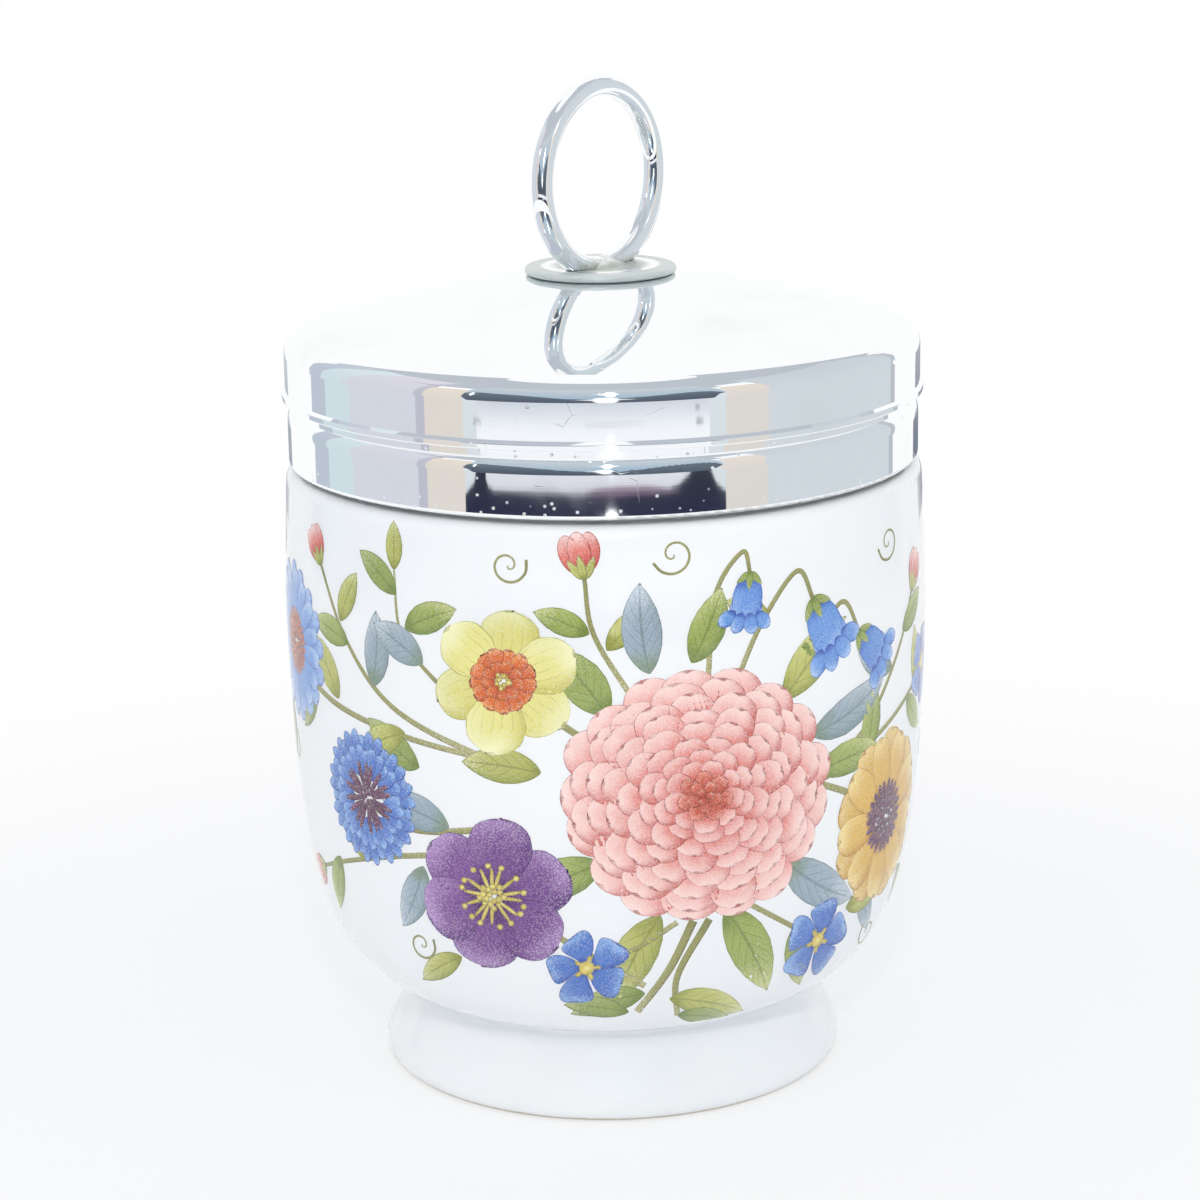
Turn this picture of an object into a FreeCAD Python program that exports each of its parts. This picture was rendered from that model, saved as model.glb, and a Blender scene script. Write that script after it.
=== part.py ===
import FreeCAD, Part
import math
import os
import re

import Sketcher

# A two-egg porcelain coddler: a glazed cup with a screwed neck, a chrome-plated lid of pressed sheet
# with a rolled thread, and a fixed ring on top that lifts the pot out of the water.
# Millimetres. The axis of the cup is Z, the table is z = 0 and the decorated front faces -Y.

doc = FreeCAD.newDocument("egg_coddler")
sheet = doc.addObject("Spreadsheet::Sheet", "Sizes")
NOWHERE = FreeCAD.Vector(0, 0, 0)
UP = FreeCAD.Vector(0, 0, 1)
SKETCH_UP = FreeCAD.Vector(0, 1, 0)  # the upright axis of a sketch in its own frame
START, END = 1, 2  # the points of a sketch's curve
ACROSS, HEIGHT = -1, -2  # a sketch's own axes


# ---------------------------------------------------------------- sizes

# name, value or formula, what it is
SIZES = (
    ("lid_radius", "40", "outside of the lid's skirt"),
    ("lid_sheet", "0.8", "sheet that the cap is pressed from"),
    ("dome_rise", "7.15", "top of the dome above the lid's corner"),
    ("crown_reach", "14", "radius of the dome's rounder middle, its crown"),
    ("crown_share", "0.98", "slope at the crown's edge over the dome's mean slope"),
    ("corner_round", "3", "outside of the corner between dome and skirt"),
    ("upper_band", "7.9", "height of the upper band, lip included"),
    ("lower_band", "7.3", "height of the lower band"),
    ("band_groove", "1.05", "gap between the two bands"),
    ("lip_step", "0.4", "how far the lip flares out of the skirt, at 45 degrees"),
    ("lip_height", "1.1", "height of the lip, flare included"),
    ("lip_round", "0.15", "edges of the lip"),
    ("rim_gap", "0.65", "lid's lower edge above the cup's shoulder"),
    ("shoulder_height", "78.4", "ledge under the lid"),
    ("shoulder_step", "0.2", "shoulder wider than the lid"),
    ("shoulder_round", "1.6", "edge of the shoulder"),
    ("belly_swell", "1.1", "belly wider than the shoulder"),
    ("belly_height", "40", "widest place of the barrel"),
    ("flank_radius", "133", "side of the barrel below the belly"),
    ("heel_radius", "13", "turn from the barrel's side to its underside"),
    ("underside_height", "11.4", "where side and underside would meet unrounded"),
    ("foot_inset", "12", "foot ring inside the belly"),
    ("foot_waist", "1.7", "foot ring narrower at its top"),
    ("foot_height", "6.3", "top of the foot ring"),
    ("foot_wall", "4.2", "width of the foot ring"),
    ("foot_recess", "4.4", "depth of the hollow inside the foot ring"),
    ("foot_round", "0.9", "edges of the foot ring"),
    ("cup_wall", "4.2", "porcelain at the belly"),
    ("neck_wall", "3.6", "porcelain at the neck"),
    ("floor_thickness", "6.4", "porcelain between the floor and the foot's hollow"),
    ("throat_depth", "10", "straight part of the mouth"),
    ("throat_length", "22", "slope from the mouth out to the belly's inside"),
    ("floor_round", "13", "turn from wall to floor inside"),
    ("mouth_round", "1", "edges of the rim"),
    ("thread_lead", "5.5", "rise for one turn of the lid"),
    ("thread_turns", "1.25", "length of each ridge in turns"),
    ("thread_depth", "1.3", "height of each ridge"),
    ("thread_base", "2.4", "width of a ridge at its root"),
    ("thread_crest", "1", "width of a ridge at its top"),
    ("thread_round", "0.4", "edges of a ridge's top"),
    ("thread_play", "0.5", "radial gap between a ridge and the wall opposite"),
    ("flank_play", "0.35", "gap between the flanks that carry the lid"),
    ("thread_start", "2.5", "middle of the cup's ridge above the shoulder, at its lower end"),
    ("thread_shift", "126", "collar's ridge starts this much further round, in degrees"),
    ("thread_root", "0.1", "root of a ridge inside its wall"),
    ("thread_fade", "15", "angle in degrees over which a ridge fades out"),
    ("collar_sheet", "0.75", "wall of the collar behind the upper band"),
    ("collar_step", "0.2", "lower band inside the skirt's radius"),
    ("collar_roll", "0.6", "rounding of the lower band's bottom edges"),
    ("band_roll", "3", "curve by which the lower band turns in under the lip"),
    ("collar_seat", "0.6", "thickness of the collar's flange over the seal"),
    ("seat_width", "5.2", "width of that flange"),
    ("solder_gap", "0.05", "between cap and collar, and round the ring's wire"),
    ("seal_thickness", "1.6", "rubber ring under the flange"),
    ("seal_play", "0.2", "seal inside the collar's bend"),
    ("seal_width", "3.7", "width of the rubber ring"),
    ("plate_radius", "9.5", "round plate on top of the dome"),
    ("plate_thickness", "0.5", "thickness of that plate at its middle"),
    ("plate_round", "0.45", "edges of that plate"),
    ("saddle_radius", "3.2", "braze saddle round the foot of the ring"),
    ("saddle_height", "1", "height of that saddle"),
    ("stud_radius", "2", "stud of the plate through the dome"),
    ("stud_play", "0.05", "stud in its hole"),
    ("rivet_radius", "3.2", "clenched head of the stud"),
    ("rivet_height", "1.2", "height of that head"),
    ("rivet_round", "0.7", "edge of that head"),
    ("washer_radius", "5.5", "washer under the dome"),
    ("washer_thickness", "1", "thickness of that washer"),
    ("washer_play", "0.02", "gap between that washer's edge and the dome"),
    ("ring_radius", "12.7", "outside of the lifting ring"),
    ("wire_radius", "1.4", "wire of the lifting ring"),
    ("ring_sink", "1.7", "how far the ring would reach below the plate's top, were it not ground flat"),
    ("ring_bed", "0.2", "depth of the ring's flat foot in the plate"),
    ("ring_turn", "52", "direction of the ring's plane, from X towards Y, in degrees"),
    # what follows from the sizes above
    ("rim_height", "=shoulder_height + rim_gap", "lower edge of the lid"),
    ("groove_bottom", "=rim_height + lower_band", "top of the lower band"),
    ("skirt_bottom", "=groove_bottom + band_groove", "lower edge of the cap's skirt"),
    ("corner_height", "=skirt_bottom + upper_band", "lid's corner"),
    ("dome_height", "=corner_height + dome_rise", "top of the dome"),
    ("crown_slope", "=crown_share * atan(dome_rise / lid_radius)", "slope at the crown's edge"),
    ("crown_radius", "=crown_reach / sin(crown_slope)", "outside of the crown's sphere"),
    ("crown_inside", "=crown_radius - lid_sheet", "inside of the crown's sphere"),
    ("crown_centre", "=dome_height - crown_radius", "middle of the crown's sphere"),
    ("crown_edge", "=crown_centre + crown_radius * cos(crown_slope)", "height of the crown's edge"),
    ("dome_width", "=lid_radius - crown_reach", "width of the dome outside its crown"),
    ("dome_drop", "=crown_edge - corner_height", "height of the dome outside its crown"),
    ("dome_turn", "=dome_drop * cos(crown_slope) - dome_width * sin(crown_slope)",
     "how far the lid's corner lies below the tangent at the crown's edge"),
    ("dome_radius", "=(dome_width^2 + dome_drop^2) / (2 * dome_turn)", "arc of the dome outside its crown"),
    ("dome_inside", "=dome_radius - lid_sheet", "inside of that arc"),
    ("dome_offset", "=crown_reach - dome_radius * sin(crown_slope)", "middle of that arc, across"),
    ("dome_centre", "=crown_edge - dome_radius * cos(crown_slope)", "middle of that arc, up"),
    ("cap_inside", "=lid_radius - lid_sheet", "inside of the skirt"),
    ("collar_outside", "=cap_inside - solder_gap", "collar inside the cap"),
    ("collar_inside", "=collar_outside - collar_sheet", "collar's bore"),
    ("band_radius", "=lid_radius - collar_step", "outside of the lower band"),
    ("turned_in", "=band_radius - collar_outside", "how far the lower band's top turns in"),
    ("roll_drop", "=sqrt(band_roll^2 - (band_roll - turned_in)^2)", "height of the lower band's curve"),
    ("bend_outside", "=corner_round - lid_sheet", "bend of the cap's inside and of the collar in it"),
    ("bend_inside", "=bend_outside - collar_sheet", "inside of the collar's bend"),
    ("flange_top", "=corner_height - lid_sheet", "top of the collar"),
    ("seal_top", "=flange_top - collar_seat", "seal's upper face"),
    ("mouth_height", "=seal_top - seal_thickness", "cup's rim"),
    ("neck_radius", "=collar_inside - thread_depth - thread_play", "neck between its ridges"),
    ("mouth_radius", "=neck_radius - neck_wall", "inside of the mouth"),
    ("shoulder_radius", "=lid_radius + shoulder_step", "outside of the shoulder"),
    ("body_radius", "=shoulder_radius + belly_swell", "widest radius of the cup"),
    ("barrel_rise", "=shoulder_height - belly_height", "height of the barrel's upper arc"),
    ("barrel_radius", "=(barrel_rise^2 + belly_swell^2) / (2 * belly_swell)", "side above the belly"),
    ("heel_drop", "=belly_height - underside_height", "height of the barrel's lower arc"),
    ("underside_radius", "=body_radius - flank_radius + sqrt(flank_radius^2 - heel_drop^2)",
     "where side and underside would meet unrounded"),
    ("foot_radius", "=body_radius - foot_inset", "outside of the foot ring"),
    ("foot_inside", "=foot_radius - foot_wall", "inside of the foot ring"),
    ("floor_height", "=foot_recess + floor_thickness", "cup's floor inside"),
    ("cavity_radius", "=body_radius - cup_wall", "inside at the belly"),
    ("thread_bottom", "=shoulder_height + thread_start", "middle of the cup's ridge at its lower end"),
    ("bite", "=thread_depth - thread_play", "how far the ridges reach past each other"),
    ("flank_run", "=(thread_base - thread_crest) / 2", "slope of one flank along the axis"),
    ("thread_drop", "=thread_crest + flank_run * bite / thread_depth + flank_play",
     "collar's ridge below the cup's ridge"),
    ("seal_outside", "=collar_inside - bend_inside - seal_play", "outside of the rubber ring"),
    ("stud_hole", "=stud_radius + stud_play", "hole for the stud"),
    ("washer_top", "=crown_centre + sqrt(crown_inside^2 - washer_radius^2) - washer_play",
     "upper face of the washer, whose edge meets the dome"),
    ("washer_height", "=washer_top - washer_thickness", "lower face of the washer"),
    ("plate_top", "=dome_height + plate_thickness", "top of the plate"),
    ("plate_bottom", "=crown_centre + solder_gap", "middle of the sphere under the plate"),
    ("plate_rim", "=plate_top - plate_bottom - sqrt(crown_radius^2 - plate_radius^2)",
     "thickness of the plate at its edge"),
    ("plate_edge", "=min(plate_round; 0.45 * plate_rim)", "edges of the plate, within its thickness"),
    ("ring_height", "=plate_top - ring_sink + ring_radius", "middle of the ring"),
    ("ring_foot", "=plate_top - ring_bed", "flat foot of the ring"),
)


def fill_sheet():
    for row, (name, value, _) in enumerate(SIZES, 1):
        sheet.set(f"A{row}", name)
        sheet.set(f"B{row}", value)
        sheet.setAlias(f"B{row}", name)
    doc.recompute()


NAMES = re.compile(r"\b(" + "|".join(name for name, _, _ in SIZES) + r")\b")


def sized(text):
    """A formula of size names, as other objects of the document write it."""
    return NAMES.sub(r"Sizes.\1", text)


def value(text):
    """What a formula of size names comes to now."""
    found = sheet.evalExpression(NAMES.sub(r"Sizes.\1", text))
    return float(getattr(found, "Value", found))


# ---------------------------------------------------------------- sketches and features


def place(piece, height):
    """Sets a piece on the axis at a height given as a formula."""
    piece.setExpression("Placement.Base.z", sized(height))


def origin_plane(body, role):
    return next(part for part in body.Origin.OriginFeatures if part.Role == role)


def make_body(label):
    body = doc.addObject("PartDesign::Body", label)
    body.Label = label
    return body


def make_sketch(body, name, role="XZ_Plane"):
    sketch = body.newObject("Sketcher::SketchObject", name)
    sketch.AttachmentSupport = [(origin_plane(body, role), "")]
    sketch.MapMode = "FlatFace"
    return sketch


def bind(sketch, kind, *where, size):
    """A constraint whose size stays tied to the sheet."""
    index = sketch.addConstraint(Sketcher.Constraint(kind, *where, value(size)))
    sketch.setExpression(f"Constraints[{index}]", sized(size))


def pin(sketch, geo, point, across, height):
    """Holds a point at a radius and a height given as formulas."""
    for kind, axis, size in (("DistanceX", HEIGHT, across), ("DistanceY", ACROSS, height)):
        if size == "0":
            sketch.addConstraint(Sketcher.Constraint("PointOnObject", geo, point, axis))
        else:
            bind(sketch, kind, ACROSS, START, geo, point, size=size)


class Side:
    """One side of an outline: a straight line, or an arc of a circle that bulges to its right or left."""

    def __init__(self, begin, end, radius=None, bulge=1):
        self.begin, self.end, self.size, self.bulge = begin, end, radius, bulge
        if radius:
            self.radius = value(radius)
            half = (end - begin) * 0.5
            across = FreeCAD.Vector(half.y, -half.x, 0).normalize() * bulge
            self.centre = begin + half - across * math.sqrt(self.radius**2 - half.Length**2)

    def direction(self, point):
        """Unit vector along the side at one of its points."""
        if not self.size:
            return (self.end - self.begin).normalize()
        spoke = point - self.centre
        return FreeCAD.Vector(-spoke.y, spoke.x, 0).normalize() * self.bulge

    def nearest(self, point):
        if not self.size:
            return point
        return self.centre + (point - self.centre).normalize() * self.radius

    def draw(self, sketch, begin, end):
        """Adds the side between two of its points. Returns its index and its first and last point."""
        if not self.size:
            return sketch.addGeometry(Part.LineSegment(begin, end), False), START, END
        return draw_arc(sketch, self.centre, self.radius, begin, end, self.bulge > 0)


def draw_arc(sketch, centre, radius, begin, end, anticlockwise):
    """An arc from one point to another. A sketch keeps every arc anticlockwise."""
    first, last = (begin, end) if anticlockwise else (end, begin)
    angles = [math.atan2(spot.y - centre.y, spot.x - centre.x) for spot in (first, last)]
    if angles[1] < angles[0]:
        angles[1] += 2 * math.pi
    index = sketch.addGeometry(Part.ArcOfCircle(Part.Circle(centre, UP, radius), *angles), False)
    return (index, START, END) if anticlockwise else (index, END, START)


def outline(sketch, corners, arcs=None):
    """Draws a closed outline. A corner is (across, height) or (across, height, rounding), all formulas.

    arcs gives the sides that are arcs: {number of the side's first corner: (radius, bulge)}. A rounded
    corner keeps its sharp place as a construction point that both sides pass through.
    """
    arcs = arcs or {}
    count = len(corners)
    spots = [FreeCAD.Vector(value(corner[0]), value(corner[1]), 0) for corner in corners]
    sides = [Side(spots[n], spots[(n + 1) % count], *arcs.get(n, ())) for n in range(count)]
    begins, ends, rounds = list(spots), [spots[(n + 1) % count] for n in range(count)], {}
    for n, corner in enumerate(corners):
        if len(corner) < 3:
            continue
        radius = value(corner[2])
        into, out = sides[n - 1].direction(spots[n]), sides[n].direction(spots[n])
        turn = into.getAngle(out)
        reach = radius * math.tan(turn / 2)
        left = into.x * out.y - into.y * out.x > 0
        ends[n - 1] = sides[n - 1].nearest(spots[n] - into * reach)
        begins[n] = sides[n].nearest(spots[n] + out * reach)
        centre = spots[n] + (out - into).normalize() * (radius / math.cos(turn / 2))
        rounds[n] = (centre, radius, left)
    drawn = [side.draw(sketch, begins[n], ends[n]) for n, side in enumerate(sides)]
    for n, side in enumerate(sides):
        if side.size:
            bind(sketch, "Radius", drawn[n][0], size=side.size)
    for n, corner in enumerate(corners):
        before, _, before_end = drawn[n - 1]
        after, after_start, _ = drawn[n]
        if n not in rounds:
            sketch.addConstraint(Sketcher.Constraint("Coincident", before, before_end, after, after_start))
            pin(sketch, after, after_start, corner[0], corner[1])
            continue
        centre, radius, left = rounds[n]
        turned, first, last = draw_arc(sketch, centre, radius, ends[n - 1], begins[n], left)
        sketch.addConstraint(Sketcher.Constraint("Tangent", before, before_end, turned, first))
        sketch.addConstraint(Sketcher.Constraint("Tangent", turned, last, after, after_start))
        bind(sketch, "Radius", turned, size=corner[2])
        sharp = sketch.addGeometry(Part.Point(spots[n]), True)
        pin(sketch, sharp, START, corner[0], corner[1])
        for side in (before, after):
            sketch.addConstraint(Sketcher.Constraint("PointOnObject", sharp, START, side))


def revolve(body, name, corners, arcs=None):
    """Turns an outline of radius and height once round the axis."""
    sketch = make_sketch(body, name + "_outline")
    outline(sketch, corners, arcs)
    turned = body.newObject("PartDesign::Revolution", name)
    turned.Profile = sketch
    turned.ReferenceAxis = (sketch, ["V_Axis"])
    turned.Angle = 360
    sketch.Visibility = False
    doc.recompute()
    return turned


def add_ridge(body, name, wall, depth, middle, begin):
    """A screw ridge on a wall of the given radius, that fades out at both ends.

    depth is how far it stands out of the wall, negative where it points to the axis. middle is its height
    where it starts, and begin the angle there.
    """
    root = f"({wall} - thread_root * {depth} / thread_depth)"
    crest = f"({wall} + {depth})"
    sketch = make_sketch(body, name + "_section")
    sketch.AttachmentOffset = FreeCAD.Placement(NOWHERE, FreeCAD.Rotation(SKETCH_UP, value(begin)))
    sketch.setExpression("AttachmentOffset.Rotation.Angle", sized(begin))
    outline(sketch, [
        (root, f"{middle} - thread_base / 2"),
        (crest, f"{middle} - thread_crest / 2", "thread_round"),
        (crest, f"{middle} + thread_crest / 2", "thread_round"),
        (root, f"{middle} + thread_base / 2"),
    ])
    ridge = body.newObject("PartDesign::AdditiveHelix", name)
    ridge.Profile = sketch
    ridge.ReferenceAxis = (sketch, ["V_Axis"])
    ridge.Mode = "pitch-turns-angle"
    ridge.setExpression("Pitch", sized("thread_lead"))
    ridge.setExpression("Turns", sized("thread_turns"))
    ridge.LeftHanded = False
    sketch.Visibility = False
    doc.recompute()
    whole = f"({begin} + 360 * thread_turns)"
    fade_end(body, name + "_start", wall, crest, depth, begin, middle, True)
    fade_end(body, name + "_end", wall, crest, depth, f"{whole} - thread_fade",
             f"{middle} + thread_lead * (thread_turns - thread_fade / 360)", False)


def fade_end(body, name, wall, crest, depth, angle, middle, rising):
    """Slices the end of a ridge down to its wall, over thread_fade degrees from the angle given."""
    beyond = f"({crest} + {depth})"
    low, high = (wall, crest) if rising else (crest, wall)
    sketch = make_sketch(body, name, "XY_Plane")
    sketch.AttachmentOffset = FreeCAD.Placement(NOWHERE, FreeCAD.Rotation(UP, value(angle)))
    sketch.setExpression("AttachmentOffset.Rotation.Angle", sized(angle))
    sketch.setExpression("AttachmentOffset.Base.z", sized(middle))
    outline(sketch, [
        (low, "0"),
        (beyond, "0"),
        (f"{beyond} * cos(thread_fade)", f"{beyond} * sin(thread_fade)"),
        (f"{high} * cos(thread_fade)", f"{high} * sin(thread_fade)"),
    ])
    cut = body.newObject("PartDesign::Pocket", name + "_fade")
    cut.Profile = sketch
    cut.Type = "Length"
    cut.Midplane = True
    cut.setExpression("Length", sized("thread_base + 2 * thread_root + 2 * thread_lead * thread_fade / 360"))
    sketch.Visibility = False
    doc.recompute()


# ---------------------------------------------------------------- the pieces


def make_cup():
    body = make_body("cup")
    revolve(body, "cup_form", [
        ("foot_inside", "0", "foot_round"),
        ("foot_radius", "0", "foot_round"),
        ("foot_radius - foot_waist", "foot_height", "foot_round"),
        ("underside_radius", "underside_height", "heel_radius"),
        ("body_radius", "belly_height"),
        ("shoulder_radius", "shoulder_height", "shoulder_round"),
        ("neck_radius", "shoulder_height", "mouth_round"),
        ("neck_radius", "mouth_height", "mouth_round"),
        ("mouth_radius", "mouth_height", "mouth_round"),
        ("mouth_radius", "mouth_height - throat_depth", "floor_round"),
        ("cavity_radius", "mouth_height - throat_depth - throat_length", "floor_round"),
        ("cavity_radius", "floor_height", "floor_round"),
        ("0", "floor_height"),
        ("0", "foot_recess"),
        ("foot_inside", "foot_recess", "foot_round"),
    ], {3: ("flank_radius", 1), 4: ("barrel_radius", 1)})
    add_ridge(body, "cup_thread", "neck_radius", "thread_depth", "thread_bottom", "0")
    return body


def make_lid_cap():
    body = make_body("lid_cap")
    revolve(body, "cap_form", [
        ("cap_inside", "skirt_bottom"),
        ("lid_radius + lip_step", "skirt_bottom", "lip_round"),
        ("lid_radius + lip_step", "skirt_bottom + lip_height - lip_step", "lip_round"),
        ("lid_radius", "skirt_bottom + lip_height"),
        ("lid_radius", "corner_height", "corner_round"),
        ("crown_reach", "crown_edge"),
        ("stud_hole", "crown_centre + sqrt(crown_radius^2 - stud_hole^2)"),
        ("stud_hole", "crown_centre + sqrt(crown_inside^2 - stud_hole^2)"),
        ("crown_inside * sin(crown_slope)", "crown_centre + crown_inside * cos(crown_slope)"),
        ("cap_inside", "dome_centre + sqrt(dome_inside^2 - (cap_inside - dome_offset)^2)", "bend_outside"),
    ], {4: ("dome_radius", 1), 5: ("crown_radius", 1), 7: ("crown_inside", -1), 8: ("dome_inside", -1)})
    return body


def make_thread_collar():
    body = make_body("thread_collar")
    revolve(body, "collar_form", [
        ("collar_inside", "rim_height", "collar_roll"),
        ("band_radius", "rim_height", "collar_roll"),
        ("band_radius", "groove_bottom - roll_drop"),
        ("collar_outside", "groove_bottom"),
        ("collar_outside", "flange_top", "bend_outside"),
        ("collar_inside - seat_width", "flange_top"),
        ("collar_inside - seat_width", "seal_top"),
        ("collar_inside", "seal_top", "bend_inside"),
    ], {2: ("band_roll", 1)})
    middle = "thread_bottom - thread_drop + thread_lead * thread_shift / 360"
    add_ridge(body, "collar_thread", "collar_inside", "-thread_depth", middle, "thread_shift")
    return body


def make_sealing_ring():
    body = make_body("sealing_ring")
    revolve(body, "seal_form", [
        ("seal_outside - seal_width", "0"),
        ("seal_outside", "0"),
        ("seal_outside", "seal_thickness"),
        ("seal_outside - seal_width", "seal_thickness"),
    ])
    place(body, "mouth_height")
    return body


def make_backing_washer():
    body = make_body("backing_washer")
    revolve(body, "washer_form", [
        ("stud_hole", "0"),
        ("washer_radius", "0"),
        ("washer_radius", "washer_thickness"),
        ("stud_hole", "washer_thickness"),
    ])
    place(body, "washer_height")
    return body


def make_ring_seat():
    """The plate on the dome, with its saddle above, its clenched stud below and a bed for the ring."""
    body = make_body("ring_seat_form")
    revolve(body, "seat_form", [
        ("0", "washer_height - rivet_height"),
        ("rivet_radius", "washer_height - rivet_height", "rivet_round"),
        ("rivet_radius", "washer_height"),
        ("stud_radius", "washer_height"),
        ("stud_radius", "plate_bottom + sqrt(crown_radius^2 - stud_radius^2)"),
        ("plate_radius", "plate_bottom + sqrt(crown_radius^2 - plate_radius^2)", "plate_edge"),
        ("plate_radius", "plate_top", "plate_edge"),
        ("saddle_radius", "plate_top"),
        ("0", "plate_top + saddle_height"),
    ], {4: ("crown_radius", -1), 7: ("(saddle_radius^2 + saddle_height^2) / (2 * saddle_height)", 1)})
    bed = form_ring("ring_bed_form", "wire_radius + solder_gap", "ring_foot - solder_gap")
    seat = doc.addObject("Part::Cut", "ring_seat")
    seat.Label = "ring_seat"
    seat.Base, seat.Tool = body, bed
    return seat


def make_lifting_ring():
    return form_ring("lifting_ring", "wire_radius", "ring_foot")


def form_ring(name, wire, foot):
    """The lifting ring as a torus upright on the plate, ground flat at the height of its foot."""
    torus = doc.addObject("Part::Torus", name + "_wire")
    torus.setExpression("Radius1", sized("ring_radius - wire_radius"))
    torus.setExpression("Radius2", sized(wire))
    turned = "create(<<rotation>>; Sizes.ring_turn; 0; 90)"
    torus.setExpression(
        "Placement",
        f"create(<<placement>>; create(<<vector>>; 0; 0; Sizes.ring_height); {turned})",
    )
    ground = doc.addObject("Part::Box", name + "_ground")
    for side in ("Length", "Width", "Height"):
        ground.setExpression(side, sized("2 * ring_radius"))
    for axis in ("x", "y"):
        ground.setExpression(f"Placement.Base.{axis}", sized("-ring_radius"))
    ground.setExpression("Placement.Base.z", sized(f"{foot} - 2 * ring_radius"))
    ring = doc.addObject("Part::Cut", name)
    ring.Label = name
    ring.Base, ring.Tool = torus, ground
    return ring


# ---------------------------------------------------------------- build, check and write

PIECES = (
    make_cup,
    make_lid_cap,
    make_thread_collar,
    make_sealing_ring,
    make_backing_washer,
    make_ring_seat,
    make_lifting_ring,
)


def check(pieces):
    """Stops on anything that failed to build."""
    for item in doc.Objects:
        if {"Invalid", "Error"} & set(item.State):
            raise RuntimeError(f"{item.Name} did not build: {item.State}")
    for piece in pieces:
        shape = piece.Shape
        if shape.isNull() or not shape.isValid() or len(shape.Solids) != 1:
            raise RuntimeError(f"{piece.Label} is not one valid solid")
        if shape.Volume <= 0:
            raise RuntimeError(f"{piece.Label} has no volume")


def main():
    fill_sheet()
    pieces = [make() for make in PIECES]
    doc.recompute()
    check(pieces)
    os.makedirs("parts", exist_ok=True)
    for piece in pieces:
        piece.Shape.exportStep(f"parts/{piece.Label}.step")
        box = piece.Shape.optimalBoundingBox()
        print(f"{piece.Label}: {piece.Shape.Volume:.1f} mm3, z {box.ZMin:.2f} to {box.ZMax:.2f}")


main()
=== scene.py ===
import math

import bpy
import numpy as np
from bpy.props import FloatProperty, FloatVectorProperty, PointerProperty
from mathutils import Matrix, Vector


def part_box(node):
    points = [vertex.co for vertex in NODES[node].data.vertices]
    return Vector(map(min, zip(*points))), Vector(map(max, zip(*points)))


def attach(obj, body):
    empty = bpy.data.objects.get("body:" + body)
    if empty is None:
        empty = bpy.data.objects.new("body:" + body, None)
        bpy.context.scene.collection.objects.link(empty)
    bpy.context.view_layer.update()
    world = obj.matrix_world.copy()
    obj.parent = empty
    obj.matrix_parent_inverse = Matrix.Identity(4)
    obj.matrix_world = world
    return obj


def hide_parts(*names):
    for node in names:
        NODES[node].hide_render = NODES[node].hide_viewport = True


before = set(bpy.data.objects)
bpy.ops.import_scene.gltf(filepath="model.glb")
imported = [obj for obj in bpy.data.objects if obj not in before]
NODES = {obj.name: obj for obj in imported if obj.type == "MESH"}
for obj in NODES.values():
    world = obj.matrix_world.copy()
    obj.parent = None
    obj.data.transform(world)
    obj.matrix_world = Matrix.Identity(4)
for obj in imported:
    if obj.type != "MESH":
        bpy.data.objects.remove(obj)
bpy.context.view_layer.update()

bl_info = {
    "name": "Egg Coddler",
    "version": (1, 0, 0),
    "blender": (4, 5, 0),
    "location": "3D View > Sidebar > Coddler",
    "description": "Glazes, prints and plates a porcelain egg coddler and sets it on a studio table",
    "category": "Object",
}

MM = 0.001
CUP_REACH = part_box("cup")[1].x
CAP_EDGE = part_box("lid_cap")[0].z
COLLAR_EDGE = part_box("thread_collar")[0].z
SEAT_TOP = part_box("lifting_ring")[0].z + 0.2 * MM
BRAZE_TOP, BRAZE_REACH = SEAT_TOP + 0.7 * MM, 5.2 * MM
RIBS_FROM, RIBS_TO = math.radians(8), math.radians(19)
CREASE = 10.3 * MM
# the cup's wall from its shoulder down over the heel and the flared foot to the middle underneath, and its
# inside from the throat down to the middle of the floor, in millimetres from the axis and above the table
WALL_ROUTE = (
    (40.285, 76.89), (40.65, 69.5), (40.9, 62.0), (40.74, 52.0), (40.4, 43.0), (39.74, 35.0), (38.75, 28.0),
    (37.15, 22.2), (35.9, 19.2), (33.5, 15.5), (31.0, 13.1), (28.7, 11.7), (27.2, 11.0), (26.45, 10.3),
    (26.4, 9.5), (26.8, 8.6), (27.4, 7.4), (28.05, 6.0), (28.8, 4.4), (29.4, 3.0), (29.72, 2.0), (29.74, 1.2),
    (29.55, 0.55), (29.15, 0.15), (28.6, 0.0), (27.6, 0.0), (26.5, 0.0), (25.95, 0.15), (25.55, 0.55),
    (25.3, 1.2), (25.0, 3.0), (24.6, 5.0), (23.8, 6.4), (22.3, 7.1), (19.0, 7.35), (10.0, 7.4), (0.0, 7.4),
)
LINING_ROUTE = (
    (36.88, 61.48), (37.04, 60.2), (37.1, 58.5), (36.95, 55.0), (36.7, 50.0), (36.35, 43.0), (35.75, 35.0),
    (34.75, 28.0), (33.1, 22.6), (31.9, 20.2), (29.6, 17.4), (26.6, 15.5), (23.0, 14.6), (18.0, 14.2),
    (9.0, 14.02), (0.0, 14.0),
)
ROUTE_STEP = 0.9
# how near a packed point lies to a join to count as part of it
JOIN_PLAY = 0.02 * MM


# ---------------------------------------------------------------- colours


def shade(red, green, blue):
    """A colour given as a printer's 0 to 255 values, in Blender's linear values."""
    parts = []
    for part in (red, green, blue):
        part /= 255
        parts.append(part / 12.92 if part <= 0.04045 else ((part + 0.055) / 1.055) ** 2.4)
    return (*parts, 1.0)


WHITE = (1.0, 1.0, 1.0, 1.0)
BLACK = (0.0, 0.0, 0.0, 1.0)


# ---------------------------------------------------------------- settings


def colour_field(name, description, *tone):
    """A setting for a colour, given as for shade."""
    return FloatVectorProperty(name=name, description=description, subtype="COLOR", size=4, min=0, max=1,
                               default=shade(*tone))


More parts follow.
